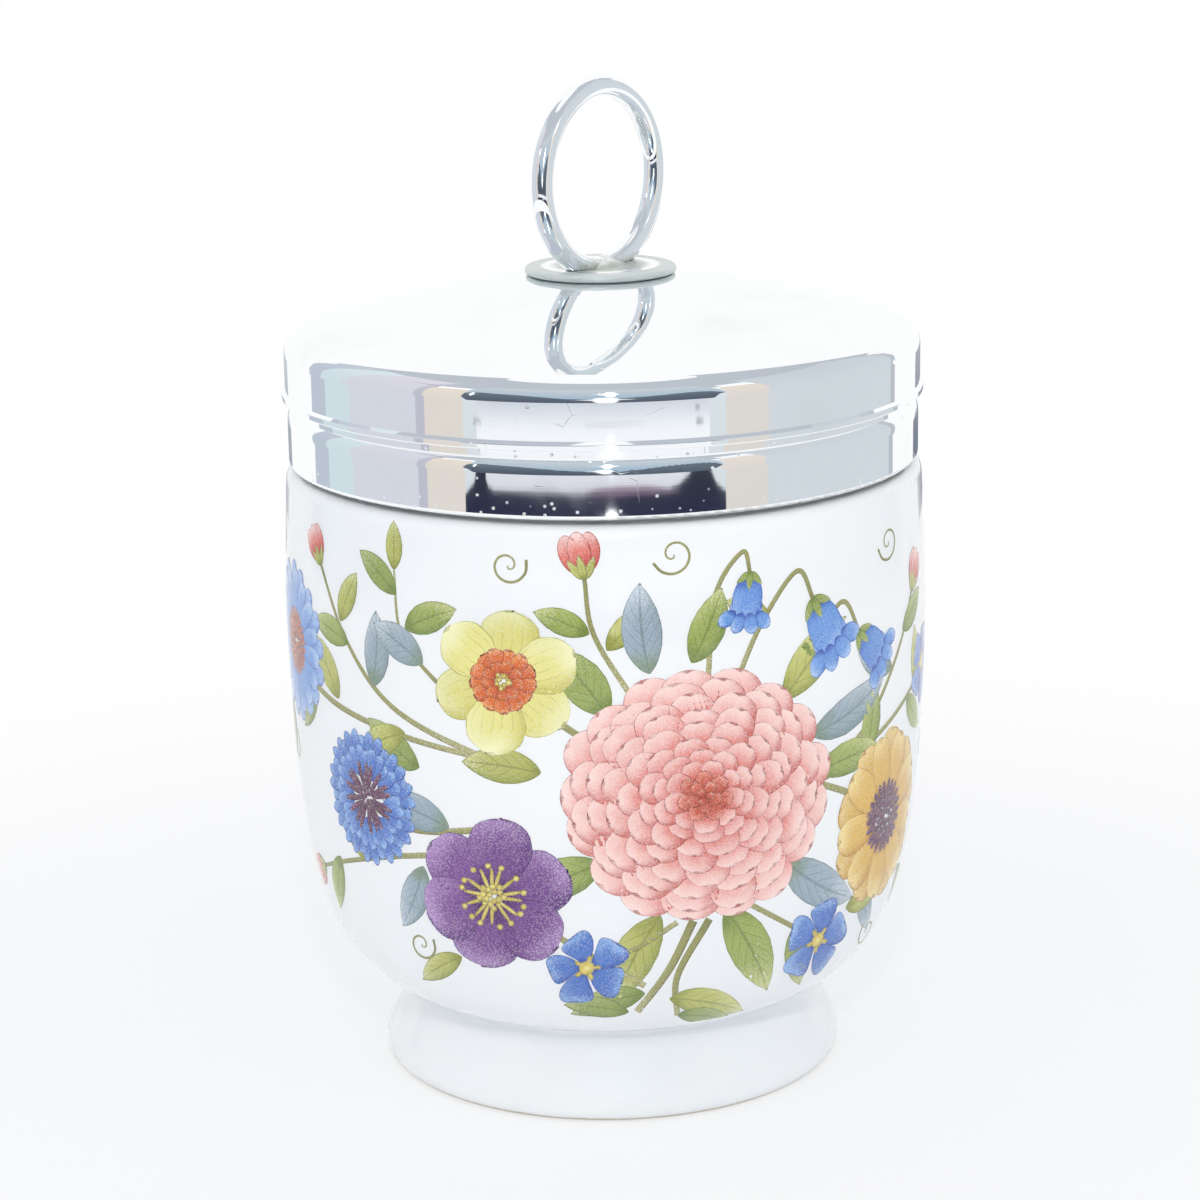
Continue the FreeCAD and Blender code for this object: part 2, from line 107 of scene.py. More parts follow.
def share_field(name, description, default):
    """A setting from 0 to 1."""
    return FloatProperty(name=name, description=description, subtype="FACTOR", min=0, max=1, default=default)


def length_field(name, description, default, precision=6):
    """A setting for a length, given in millimetres."""
    return FloatProperty(name=name, description=description, unit="LENGTH", min=0, precision=precision,
                         default=default * MM)


def power_field(name, description, default):
    """A setting for a lamp's power."""
    return FloatProperty(name=name, description=description, unit="POWER", min=0, default=default)


def angle_field(name, description, default):
    """A setting for an angle, in radians."""
    return FloatProperty(name=name, description=description, subtype="ANGLE", default=default)


class GlazeSettings(bpy.types.PropertyGroup):
    """The cup's white glaze and the clay under its foot."""

    white: colour_field("Glaze", "Colour of the white glaze", 246, 247, 247)
    # this colour also darkens the crease above the foot as painted shade
    pooled_glaze_and_crease_shade: colour_field("Pooled glaze", "Colour where the glaze lies thick, above the foot", 228, 234, 240)
    clay: colour_field("Bare clay", "Colour of the ground edge under the foot", 226, 219, 205)
    roughness: share_field("Glaze roughness", "Roughness of clean glaze", 0.05)
    ripple: length_field("Ripple", "Depth of the slow waves in the glaze", 0.004)


class PrintSettings(bpy.types.PropertyGroup):
    """The flower print on the glaze."""

    lift: length_field("Lift", "First layer of print over the cup's surface", 0.006)
    layer: length_field("Layer", "Step from one layer of print to the next", 0.0008)
    line: length_field("Outline", "Width of the fine line round petals and leaves", 0.16, precision=5)
    stipple: share_field("Stipple", "Strength of the printer's fine dots", 0.35)


PRINT_LOW, PRINT_HIGH = 13 * MM, 78.2 * MM
# where the wall turns in, the drawing is laid lower by this share of how far it has turned in
PRINT_SINK = 0.3
# the layer on which flowers begin, over the stems and leaves
FLOWER_LEVEL = 16
# the turn from one seed of a head to the next, in radians
GOLDEN_TURN = 2.39996


class PlatingSettings(bpy.types.PropertyGroup):
    """The lid's bright chrome."""

    chrome: colour_field("Chrome", "Colour of clean chrome", 251, 253, 254)
    tarnish: colour_field("Tarnish", "Colour where the plating is smeared and dull", 234, 236, 236)
    satin: colour_field("Satin", "Colour of the ring plate's satin edge", 212, 219, 216)
    braze: colour_field("Braze", "Colour of the braze round the ring's foot", 186, 193, 184)
    roughness: share_field("Polish", "Roughness of clean chrome", 0.03)
    scratch: length_field("Scratches", "Depth of the hairline scratches", 0.0012)
    swell: length_field("Swell", "Height of the slow waves in the sheet", 0.012)


class StudioSettings(bpy.types.PropertyGroup):
    """Floor, lamps and camera."""

    floor: colour_field("Floor", "Colour of the table", 247, 248, 250)
    sky: FloatProperty(
        name="Sky light", description="Strength of the even light from all round", min=0, default=0.85,
    )
    key: power_field("Key lamp", "Power of the large soft lamp in front, high on the left", 0.3)
    fill: power_field("Fill lamp", "Power of the soft lamp on the right", 0.2)
    spark: power_field("Small lamp", "Power of the small lamp over the camera", 0.34)
    camera_back: length_field("Camera distance", "Camera in front of the cup's axis", 416.92, precision=5)
    camera_up: length_field("Camera height", "Camera above the table", 165.91, precision=5)
    camera_pitch: angle_field("Camera pitch", "How far the camera looks down", 0.2498)
    camera_roll: angle_field("Camera roll", "Turn of the picture about its middle", -0.0165)
    camera_yaw: angle_field("Camera yaw", "Turn of the camera to the right", -0.0018)
    lens: FloatProperty(
        name="Lens", description="Focal length on a 36 mm sensor, in millimetres", min=1, default=100.4,
    )


# ---------------------------------------------------------------- node helpers


def put(tree, kind, values=None, **settings):
    """Adds a node. values maps an input's name or number to a value or to another node's output."""
    made = tree.nodes.new(kind)
    for name, setting in settings.items():
        setattr(made, name, setting)
    for key, item in (values or {}).items():
        if isinstance(item, bpy.types.NodeSocket):
            tree.links.new(item, made.inputs[key])
        else:
            made.inputs[key].default_value = item
    return made


def calc(tree, operation, *values):
    """The result of a Math node."""
    return put(tree, "ShaderNodeMath", dict(enumerate(values)), operation=operation).outputs[0]


def product(tree, first, second):
    """One value times another."""
    return calc(tree, "MULTIPLY", first, second)


def distance(tree, across, along):
    """How far a point across and along from the middle is away from it."""
    squares = [product(tree, part, part) for part in (across, along)]
    return calc(tree, "SQRT", calc(tree, "ADD", *squares))


def fade(tree, value, low, high, to_low=0.0, to_high=1.0):
    """A smooth step of a value, from to_low below low to to_high above high."""
    node = put(tree, "ShaderNodeMapRange", {
        "Value": value, "From Min": low, "From Max": high, "To Min": to_low, "To Max": to_high,
    }, interpolation_type="SMOOTHSTEP")
    return node.outputs[0]


def fall(tree, value, low, high):
    """A smooth step of a value, from 1 below low to 0 above high."""
    return fade(tree, value, low, high, 1.0, 0.0)


def blend(tree, factor, first, second):
    """A mix of two colours."""
    return put(tree, "ShaderNodeMix", {0: factor, 6: first, 7: second}, data_type="RGBA").outputs[2]


def grain(tree, where, scale, detail=2.0, roughness=0.5, distortion=0.0):
    """Noise from 0 to 1 at so many waves to the metre."""
    node = put(tree, "ShaderNodeTexNoise", {
        "Vector": where, "Scale": scale, "Detail": detail, "Roughness": roughness,
        "Distortion": distortion,
    })
    return node.outputs["Fac"]


def stretched(tree, where, scale):
    """Coordinates stretched by a vector."""
    return put(tree, "ShaderNodeVectorMath", {0: where, 1: scale}, operation="MULTIPLY").outputs[0]


def bumped(tree, height):
    """A normal bent by heights that are given in metres."""
    return put(tree, "ShaderNodeBump", {"Strength": 1.0, "Distance": 1.0, "Height": height}).outputs[0]


def attribute(tree, name):
    """A number that the mesh carries at its points."""
    return put(tree, "ShaderNodeAttribute", attribute_name=name).outputs["Fac"]


def places(tree):
    """A piece's own coordinates, and its x, y and z apart."""
    where = put(tree, "ShaderNodeTexCoord").outputs["Object"]
    apart = put(tree, "ShaderNodeSeparateXYZ", {0: where})
    return where, apart.outputs[0], apart.outputs[1], apart.outputs[2]


def new_material(name):
    """A material with nothing but its shader and output."""
    material = bpy.data.materials.new(name)
    material.use_nodes = True
    tree = material.node_tree
    tree.nodes.clear()
    shader = tree.nodes.new("ShaderNodeBsdfPrincipled")
    output = tree.nodes.new("ShaderNodeOutputMaterial")
    tree.links.new(shader.outputs[0], output.inputs[0])
    return material, tree, shader


def connect(tree, shader, sockets):
    """Feeds a shader's inputs from sockets or plain values."""
    for name, item in sockets.items():
        if isinstance(item, bpy.types.NodeSocket):
            tree.links.new(item, shader.inputs[name])
        else:
            shader.inputs[name].default_value = item


def new_group(name, inputs, outputs):
    """A shader node group. inputs are (name, kind, default), and outputs (name, kind)."""
    group = bpy.data.node_groups.new(name, "ShaderNodeTree")
    for label, kind, default in inputs:
        socket = group.interface.new_socket(label, in_out="INPUT", socket_type=kind)
        socket.default_value = default
    for label, kind in outputs:
        group.interface.new_socket(label, in_out="OUTPUT", socket_type=kind)
    given = group.nodes.new("NodeGroupInput").outputs
    wanted = group.nodes.new("NodeGroupOutput").inputs
    return group, given, wanted


def place_group(tree, name, values=None):
    """Puts a node group in a material and returns its outputs."""
    return put(tree, "ShaderNodeGroup", values, node_tree=bpy.data.node_groups[name]).outputs


NUMBER, COLOUR, VECTOR = "NodeSocketFloat", "NodeSocketColor", "NodeSocketVector"


def link_piece(name, data):
    """An object in the scene that shows a mesh, a lamp or a camera."""
    made = bpy.data.objects.new(name, data)
    bpy.context.scene.collection.objects.link(made)
    return made


def dress(node, material):
    """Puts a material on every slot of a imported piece."""
    piece = NODES[node]
    for slot in piece.material_slots:
        slot.material = material


# ---------------------------------------------------------------- shared effects


def make_wear_group():
    """Hairline scratches, pits and smears, for chrome and glaze."""
    group, given, wanted = new_group("handling_wear", (
        ("Scratch size", NUMBER, 90.0),
        ("Scratch width", NUMBER, 0.02),
        ("Pit size", NUMBER, 700.0),
        ("Pit share", NUMBER, 0.2),
    ), (("Scratches", NUMBER), ("Pits", NUMBER), ("Smears", NUMBER)))
    where, _, _, _ = places(group)
    bent = put(group, "ShaderNodeTexNoise", {"Vector": where, "Scale": 35.0, "Detail": 2.0})
    pushed = stretched(group, bent.outputs["Color"], (0.012,) * 3)
    swayed = put(group, "ShaderNodeVectorMath", {0: where, 1: pushed}, operation="ADD").outputs[0]
    lines = put(group, "ShaderNodeTexVoronoi", {"Vector": swayed, "Scale": given["Scratch size"]},
                feature="DISTANCE_TO_EDGE")
    line = fall(group, lines.outputs["Distance"], 0.0, given["Scratch width"])
    patchy = fade(group, grain(group, where, 130.0, 3.0), 0.52, 0.66)
    group.links.new(product(group, line, patchy), wanted["Scratches"])
    spots = put(group, "ShaderNodeTexVoronoi", {"Vector": where, "Scale": given["Pit size"]})
    near = fall(group, spots.outputs["Distance"], 0.12, 0.3)
    lot = put(group, "ShaderNodeSeparateColor", {0: spots.outputs["Color"]}).outputs[0]
    few = calc(group, "LESS_THAN", lot, given["Pit share"])
    group.links.new(product(group, near, few), wanted["Pits"])
    group.links.new(grain(group, where, 55.0, 4.0, 0.6, 0.4), wanted["Smears"])


def make_glaze_group():
    """The glassy surface of the glaze: its slow ripple and its roughness."""
    group, given, wanted = new_group("glaze_surface", (
        ("Roughness", NUMBER, 0.05),
        ("Ripple", NUMBER, 0.004 * MM),
    ), (("Roughness", NUMBER), ("Normal", VECTOR)))
    where, _, _, _ = places(group)
    wear = place_group(group, "handling_wear", {
        "Scratch size": 60.0, "Scratch width": 0.006, "Pit size": 300.0, "Pit share": 0.03,
    })
    slow = grain(group, where, 60.0, 2.0)
    height = product(group, slow, given["Ripple"])
    pitted = calc(group, "MULTIPLY_ADD", wear["Pits"], -0.003 * MM, height)
    group.links.new(bumped(group, pitted), wanted["Normal"])
    smeared = fade(group, wear["Smears"], 0.35, 0.75, 0.0, 0.03)
    rough = calc(group, "ADD", given["Roughness"], smeared)
    scratched = calc(group, "MULTIPLY_ADD", wear["Scratches"], 0.1, rough)
    group.links.new(scratched, wanted["Roughness"])


# ---------------------------------------------------------------- cup


def smooth_route(route, step):
    """Points about a step apart on a smooth curve through the points of a route."""
    route = np.array(route, dtype=float)
    gaps = np.linalg.norm(np.diff(route, axis=0), axis=1)
    lean = np.gradient(route, np.concatenate([[0], np.cumsum(gaps)]), axis=0)
    spots = []
    for n, gap in enumerate(gaps):
        t = np.linspace(0, 1, max(1, round(gap / step)) + 1)[:-1, None]
        spots.append((2 * t**3 - 3 * t**2 + 1) * route[n] + (t**3 - 2 * t**2 + t) * gap * lean[n]
                     + (3 * t**2 - 2 * t**3) * route[n + 1] + (t**3 - t**2) * gap * lean[n + 1])
    spots = np.vstack([*spots, route[-1:]])
    return np.stack([spots[:, 0], np.maximum(spots[:, 1], 0)], 1)


def turn_route(route, bearings, first):
    """Points, faces and normals of a route turned round the axis. It ends in a point on the axis."""
    rows = smooth_route(route, ROUTE_STEP) * MM
    lean = np.gradient(rows, axis=0)
    lean /= np.linalg.norm(lean, axis=1)[:, None]
    side, up = -lean[:, 1], lean[:, 0]
    turn = np.stack([np.cos(bearings), np.sin(bearings)], 1)
    count = len(turn)
    heights = np.repeat(rows[:-1, None, 1:], count, axis=1)
    rises = np.repeat(up[:-1, None, None], count, axis=1)
    ring = np.concatenate([rows[:-1, None, :1] * turn, heights], axis=2)
    ways = np.concatenate([side[:-1, None, None] * turn, rises], axis=2)
    points = np.vstack([ring.reshape(-1, 3), [[0, 0, rows[-1, 1]]]])
    normals = np.vstack([ways.reshape(-1, 3), [[0, 0, np.sign(up[-1])]]])
    numbers = np.arange(len(points) - 1).reshape(-1, count) + first
    after = np.roll(numbers, -1, axis=1)
    quads = np.stack([numbers[:-1], numbers[1:], after[1:], after[:-1]], -1).reshape(-1, 4)
    tip = first + len(points) - 1
    fan = [(a, tip, b) for a, b in zip(numbers[-1].tolist(), after[-1].tolist())]
    return points, [*map(tuple, quads.tolist()), *fan], normals


def turned_cup(material):
    """The cup with its slim heel and flared foot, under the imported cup's own neck, thread and throat."""
    packed = NODES["cup"].data
    spots = np.empty((len(packed.vertices), 3))
    packed.vertices.foreach_get("co", spots.ravel())
    corners = np.empty((len(packed.loops), 3))
    packed.corner_normals.foreach_get("vector", corners.ravel())
    reach = np.hypot(spots[:, 0], spots[:, 1])
    wall_join, lining_join = WALL_ROUTE[0][1] * MM, LINING_ROUTE[0][1] * MM
    high = spots[:, 2] > wall_join - JOIN_PLAY
    inside = (spots[:, 2] > lining_join - JOIN_PLAY) & (reach < LINING_ROUTE[0][0] * MM + JOIN_PLAY)
    points, faces, normals = [spots], [], []
    for face in packed.polygons:
        ids = list(face.vertices)
        if high[ids].all() or inside[ids].all():
            faces.append(tuple(ids))
            normals.append(corners[face.loop_start:face.loop_start + face.loop_total])
    first = len(spots)
    # the lining faces the axis, so its faces and normals are turned round
    for route, join, facing in ((WALL_ROUTE, wall_join, 1), (LINING_ROUTE, lining_join, -1)):
        ring = (abs(spots[:, 2] - join) < JOIN_PLAY) & (abs(reach - route[0][0] * MM) < JOIN_PLAY)
        bearings = np.unique(np.round(np.arctan2(spots[ring, 1], spots[ring, 0]), 4))
        if bearings[-1] - bearings[0] > 2 * math.pi - 0.001:
            bearings = bearings[:-1]
        more, quads, ways = turn_route(route, bearings, first)
        gaps = np.linalg.norm(more[:len(bearings), None] - spots[ring][None], axis=2)
        more[:len(bearings)] = spots[ring][gaps.argmin(axis=1)]
        points.append(more)
        faces.extend(quad[::facing] for quad in quads)
        normals.extend(facing * ways[np.array(quad[::facing]) - first] for quad in quads)
        first += len(more)
    used, numbers = np.unique(np.concatenate(faces), return_inverse=True)
    ends = np.cumsum([len(face) for face in faces])[:-1]
    faces = [face.tolist() for face in np.split(numbers, ends)]
    mesh = bpy.data.meshes.new("turned_cup")
    mesh.from_pydata(np.vstack(points)[used].tolist(), [], faces)
    mesh.materials.append(material)
    mesh.shade_smooth()
    mesh.normals_split_custom_set(np.vstack(normals).tolist())
    piece = link_piece("turned_cup", mesh)
    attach(piece, "cup")
    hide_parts("cup")
    return piece


class CODDLER_OT_glaze_cup(bpy.types.Operator):
    """Turns the cup's body and foot and covers them with white glaze, bare under the foot"""

    bl_idname = "coddler.glaze_cup"
    bl_label = "Glaze the cup"

    def execute(self, context):
        make_wear_group()
        make_glaze_group()
        glaze = glazed_porcelain(context.scene.coddler_glaze)
        dress("cup", glaze)
        turned_cup(glaze)
        return {"FINISHED"}


def glazed_porcelain(settings):
    """White glaze, tinged at random where it lies thick, with painted shade in the crease above the foot, and
    bare clay under the foot.
    """
    material, tree, shader = new_material("white_glaze")
    where, _, _, height = places(tree)
    skin = place_group(tree, "glaze_surface", {"Roughness": settings.roughness, "Ripple": settings.ripple})
    cloud = grain(tree, where, 24.0, 2.0)
    body = blend(tree, fade(tree, cloud, 0.4, 0.7, 0.0, 0.25), settings.white, settings.pooled_glaze_and_crease_shade)
    # painted shade: a band round the crease above the foot, blended at most 0.3 of the way to the pooled
    # colour
    crease_shade = product(tree, fade(tree, height, CREASE - 2.4 * MM, CREASE - 0.4 * MM),
                     fade(tree, height, CREASE + 0.6 * MM, CREASE + 3.0 * MM, 0.3, 0.0))
    pooled_glaze_and_crease_shade = blend(tree, crease_shade, body, settings.pooled_glaze_and_crease_shade)
    kiln = put(tree, "ShaderNodeTexVoronoi", {"Vector": where, "Scale": 160.0})
    lot = put(tree, "ShaderNodeSeparateColor", {0: kiln.outputs["Color"]}).outputs[1]
    fleck = product(tree, calc(tree, "LESS_THAN", lot, 0.03),
                    fade(tree, kiln.outputs["Distance"], 0.02, 0.035, 0.6, 0.0))
    flecked = blend(tree, fleck, pooled_glaze_and_crease_shade, shade(176, 160, 140))
    edge = calc(tree, "MULTIPLY_ADD", grain(tree, where, 400.0), 0.4 * MM, 0.25 * MM)
    bare = fall(tree, calc(tree, "SUBTRACT", height, edge), 0.0, 0.12 * MM)
    clay_tone = blend(tree, grain(tree, where, 2500.0), settings.clay, shade(205, 196, 180))
    connect(tree, shader, {
        "Base Color": blend(tree, bare, flecked, clay_tone),
        "Roughness": calc(tree, "MAXIMUM", skin["Roughness"], product(tree, bare, 0.7)),
        "Normal": skin["Normal"],
        "IOR": 1.52,
        "Subsurface Weight": 0.08,
        "Subsurface Radius": (0.004, 0.0035, 0.003),
        "Subsurface Scale": 1.0,
    })
    return material


# ---------------------------------------------------------------- print on the cup


def outer_profile():
    """Radius and slope of the cup's outer wall at rising heights, from its heel to its shoulder."""
    mesh = NODES["cup"].data
    spots, ways = np.empty((2, len(mesh.vertices), 3))
    mesh.vertices.foreach_get("co", spots.ravel())
    mesh.vertices.foreach_get("normal", ways.ravel())
    reach = np.hypot(spots[:, 0], spots[:, 1])
    faces_out = np.sum(spots[:, :2] * ways[:, :2], axis=1) > 0.5 * reach
    join = WALL_ROUTE[0][1] * MM
    shoulder = faces_out & (spots[:, 2] > join + JOIN_PLAY) & (spots[:, 2] < PRINT_HIGH)
    wall = smooth_route(WALL_ROUTE, ROUTE_STEP) * MM
    bands = {height: radius for radius, height in wall if height > PRINT_LOW}
    for height, radius in zip(np.round(spots[shoulder, 2], 5), reach[shoulder]):
        bands[height] = max(radius, bands.get(height, 0))
    heights = np.array(sorted(bands))
    radii = np.array([bands[height] for height in heights])
    return heights, radii, np.arctan(np.gradient(radii, heights))


class Design:
    """A flat drawing in millimetres, round the cup and up it, that is laid on the cup's wall.

    Each stroke is a small grid of points. It carries along and across the stroke from 0 to 1 and -1 to 1,
    the distance to its edge, its own tone and how far it faces the light.
    """

    LIGHT = math.radians(125)

    def __init__(self, name, level=0):
        self.name, self.level = name, level
        self.points, self.faces, self.slots, self.levels = [], [], [], []
        self.marks = {"along": [], "across": [], "rim": [], "tone": [], "lit": []}
        self.count = 0
        self.middle, self.turn, self.flat = (0.0, 0.0), 0.0, (1.0, 1.0)

    def at(self, across, up, turn=0.0, flat=(1.0, 1.0)):
        """Puts the strokes that follow round a new middle, turned and flattened."""
        self.middle, self.turn, self.flat = (across, up), math.radians(turn), flat
        return self

    def add(self, grid, along, across, rim, tone, lit, slot):
        """Adds a grid of points with its marks."""
        rows, columns = along.shape
        x, y = grid[..., 0] * self.flat[0], grid[..., 1] * self.flat[1]
        turned_x = x * math.cos(self.turn) - y * math.sin(self.turn) + self.middle[0]
        turned_y = x * math.sin(self.turn) + y * math.cos(self.turn) + self.middle[1]
        self.points.append(np.stack([turned_x.ravel(), turned_y.ravel()], 1))
        numbers = np.arange(rows * columns).reshape(rows, columns) + self.count
        quads = np.stack([numbers[:-1, :-1], numbers[1:, :-1], numbers[1:, 1:], numbers[:-1, 1:]], -1)
        self.faces.append(quads.reshape(-1, 4))
        self.slots.append(np.full(len(self.faces[-1]), slot))
        self.levels.append(np.full(rows * columns, self.level))
        for name, mark in (("along", along), ("across", across), ("rim", rim), ("lit", lit)):
            self.marks[name].append(mark.ravel())
        self.marks["tone"].append(np.full(rows * columns, tone))
        self.count += rows * columns
        self.level += 1

    def petal(self, start, angle, length, width, form=(0.9, 0.5), slot=0, tone=0.5, bend=0.0, wave=0.0,
              waves=3, notch=0.0, fine=1.0):
        """A petal or leaf from start, in the direction of angle, in degrees. form sets where it is widest.

        bend is how many degrees it turns, wave and notch ruffle its edge and split its tip.
        """
        rows = max(8, int(18 * fine))
        columns = max(7, int(13 * fine)) | 1
        share = (1 - np.cos(np.pi * np.linspace(0, 1, rows))) / 2
        side = np.sin(np.pi / 2 * np.linspace(-1, 1, columns))
        along, across = np.meshgrid(share, side, indexing="ij")
        rise, fall = form
        peak = rise / (rise + fall)
        bulge = (share**rise * (1 - share) ** fall) / (peak**rise * (1 - peak) ** fall)
        half = 0.5 * width * bulge
        heading = np.radians(angle + bend * (share - 0.5))
        steps = np.diff(share, prepend=0) * length
        spine = np.stack([np.cumsum(np.cos(heading) * steps), np.sin(heading) * steps], 1)
        spine[:, 1] = np.cumsum(spine[:, 1])
        normal = np.stack([-np.sin(heading), np.cos(heading)], 1)
        ruffle = 1 + wave * np.sin(waves * 2 * np.pi * along + 2.1 * tone * 6)
        tip = wave * length * np.sin(np.pi * 1.5 * across + 5 * tone) * along**5
        cut = -notch * length * np.exp(-((across / 0.22) ** 2)) * along**6
        ahead = np.stack([np.cos(heading), np.sin(heading)], 1)
        place = np.array(start) + spine[:, None, :]
        place = place + normal[:, None, :] * (across * half[:, None] * ruffle)[..., None]
        place = place + ahead[:, None, :] * (tip + cut)[..., None]
        rim = np.minimum((1 - np.abs(across)) * half[:, None], (1 - along) * length * 0.5 + 0.02)
        light = self.LIGHT - self.turn
        facing = normal @ np.array([math.cos(light), math.sin(light)])
        lit = 0.5 + 0.5 * across * facing[:, None]
        self.add(place, along, across, rim, tone, lit, slot)

    def stem(self, route, first, last, tone, steps=14):
        """A line through the points of a route, as wide as first at its start and last at its end."""
        route = np.array(route, dtype=float)
        padded = np.vstack([2 * route[0] - route[1], route, 2 * route[-1] - route[-2]])
        spots = []
        for n in range(len(route) - 1):
            a, b, c, d = padded[n:n + 4]
            t = np.linspace(0, 1, steps, endpoint=n == len(route) - 2)[:, None]
            spots.append(0.5 * (2 * b + (c - a) * t + (2 * a - 5 * b + 4 * c - d) * t**2
                                + (3 * b - a - 3 * c + d) * t**3))
        spots = np.vstack(spots)
        heading = np.gradient(spots, axis=0)
        heading /= np.linalg.norm(heading, axis=1)[:, None] + 1e-9
        normal = np.stack([-heading[:, 1], heading[:, 0]], 1)
        share = np.linspace(0, 1, len(spots))
        half = 0.5 * (first + (last - first) * share)
        along, across = np.meshgrid(share, np.linspace(-1, 1, 5), indexing="ij")
        place = spots[:, None, :] + normal[:, None, :] * (across * half[:, None])[..., None]
        facing = normal @ np.array([math.cos(self.LIGHT), math.sin(self.LIGHT)])
        lit = 0.5 + 0.5 * across * facing[:, None]
        rim = (1 - np.abs(across)) * half[:, None]
        self.add(place, along, across, rim, tone, lit, 0)

    def disc(self, middle, radius, slot, tone, sides=20):
        """A round spot, shaded like a small ball."""
        turn = np.linspace(0, 2 * np.pi, sides + 1)
        share = np.linspace(0, 1, 5)
        along, angle = np.meshgrid(share, turn, indexing="ij")
        place = np.stack([np.cos(angle), np.sin(angle)], -1) * (along * radius)[..., None]
        place = place + np.array(middle)
        lit = 0.5 + 0.5 * along * np.cos(angle - self.LIGHT + self.turn)
        self.add(place, along, along, (1 - along) * radius, tone, lit, slot)

    def print_on_cup(self, settings, materials):
        """Lays the drawing on the cup as one piece with the cup's own smooth shading."""
        heights, radii, slopes = WALL
        flat = np.vstack(self.points)
        up = np.interp(flat[:, 1] * MM, heights + PRINT_SINK * (CUP_REACH - radii), heights)
        radius = np.interp(up, heights, radii)
        bearing = flat[:, 0] * MM / radius
        slope = np.interp(up, heights, slopes)
        lift = settings.lift + np.concatenate(self.levels) * settings.layer
        out = np.stack([np.sin(bearing) * np.cos(slope), -np.cos(bearing) * np.cos(slope), -np.sin(slope)], 1)
        spots = np.stack([radius * np.sin(bearing), -radius * np.cos(bearing), up], 1) + out * lift[:, None]
        mesh = bpy.data.meshes.new(self.name)
        faces = np.vstack(self.faces)
        mesh.from_pydata(spots.tolist(), [], faces.tolist())
        mesh.polygons.foreach_set("material_index", np.concatenate(self.slots).astype(np.int32))
        for material in materials:
            mesh.materials.append(material)
        for name, marks in self.marks.items():
            layer = mesh.attributes.new(name, "FLOAT", "POINT")
            layer.data.foreach_set("value", np.concatenate(marks).astype(np.float32))
        mesh.shade_smooth()
        mesh.normals_split_custom_set_from_vertices(out.tolist())
        piece = link_piece(self.name, mesh)
        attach(piece, "cup")
        return piece


WALL = outer_profile()


def make_paint_group():
    """Printed colour of a petal or leaf, from its stroke's marks."""
    group, given, wanted = new_group("printed_stroke", (
        ("Base", COLOUR, BLACK),
        ("Body", COLOUR, WHITE),
        ("Tip", COLOUR, WHITE),
        ("Shade", COLOUR, BLACK),
        ("Line", COLOUR, BLACK),
        ("Base reach", NUMBER, 0.35),
        ("Tip reach", NUMBER, 0.6),
        ("Veins", NUMBER, 5.0),
        ("Vein depth", NUMBER, 0.5),
        ("Side veins", NUMBER, 0.0),
        ("Outline", NUMBER, 0.16),
        ("Stipple", NUMBER, 0.3),
    ), (("Color", COLOUR),))
    where, _, _, _ = places(group)
    along, across = attribute(group, "along"), attribute(group, "across")
    rim, tone, lit = attribute(group, "rim"), attribute(group, "tone"), attribute(group, "lit")
    cloud = grain(group, where, 420.0, 3.0)
    stray = calc(group, "MULTIPLY_ADD", cloud, 0.3, -0.15)
    drift = calc(group, "ADD", along, stray)
    to_tip = fade(group, drift, given["Tip reach"], 1.05)
    colour = blend(group, to_tip, given["Body"], given["Tip"])
    from_base = fall(group, drift, product(group, given["Base reach"], 0.15), given["Base reach"])
    colour = blend(group, from_base, colour, given["Base"])
    width = calc(group, "ABSOLUTE", across)
    dark_side = fall(group, lit, 0.05, 0.5)
    dark_side = product(group, dark_side, fade(group, width, 0.2, 0.95, 0.1, 0.75))
    colour = blend(group, dark_side, colour, given["Shade"])
    light_side = product(group, fade(group, lit, 0.5, 0.95), fade(group, width, 0.0, 0.5, 0.0, 0.55))
    colour = blend(group, product(group, light_side, fade(group, along, 0.2, 0.6)), colour,
                   given["Tip"])
    toned = fade(group, tone, 0.0, 1.0, 0.4, 0.0)
    colour = blend(group, toned, colour, given["Shade"])
    fan = product(group, across, given["Veins"])
    ripple = calc(group, "MULTIPLY_ADD", cloud, 0.7, fan)
    wave = calc(group, "ABSOLUTE", calc(group, "SINE", product(group, ripple, math.pi)))
    vein = fall(group, wave, 0.0, 0.34)
    broken = fade(group, grain(group, where, 1500.0, 1.0), 0.35, 0.6)
    fading = fade(group, drift, 0.35, 0.95, 1.0, 0.12)
    vein = product(group, product(group, vein, fading), calc(group, "MAXIMUM", broken, 0.35))
    colour = blend(group, product(group, vein, given["Vein depth"]), colour, given["Line"])
    herring = product(group, calc(group, "MULTIPLY_ADD", width, -0.3, along), given["Side veins"])
    rib = calc(group, "ABSOLUTE", calc(group, "SINE", product(group, herring, math.pi)))
    rib = product(group, fall(group, rib, 0.0, 0.3), fade(group, width, 0.5, 1.0, 1.0, 0.2))
    middle = fall(group, width, 0.03, 0.1)
    ribbed = product(group, calc(group, "MAXIMUM", rib, middle), 0.55)
    ribbed = product(group, ribbed, calc(group, "MINIMUM", given["Side veins"], 1.0))
    colour = blend(group, ribbed, colour, given["Line"])
    edge = fall(group, rim, product(group, given["Outline"], 0.5), given["Outline"])
    edge = product(group, edge, fade(group, grain(group, where, 900.0, 1.0), 0.3, 0.6, 0.25, 0.8))
    colour = blend(group, edge, colour, given["Line"])
    dots = put(group, "ShaderNodeTexVoronoi", {"Vector": where, "Scale": 4200.0})
    dot = fall(group, dots.outputs["Distance"], 0.25, 0.5)
    spread = product(group, dot, fade(group, drift, 0.3, 1.0, 0.3, 1.0))
    colour = blend(group, product(group, spread, given["Stipple"]), colour, shade(250, 248, 244))
    group.links.new(colour, wanted["Color"])


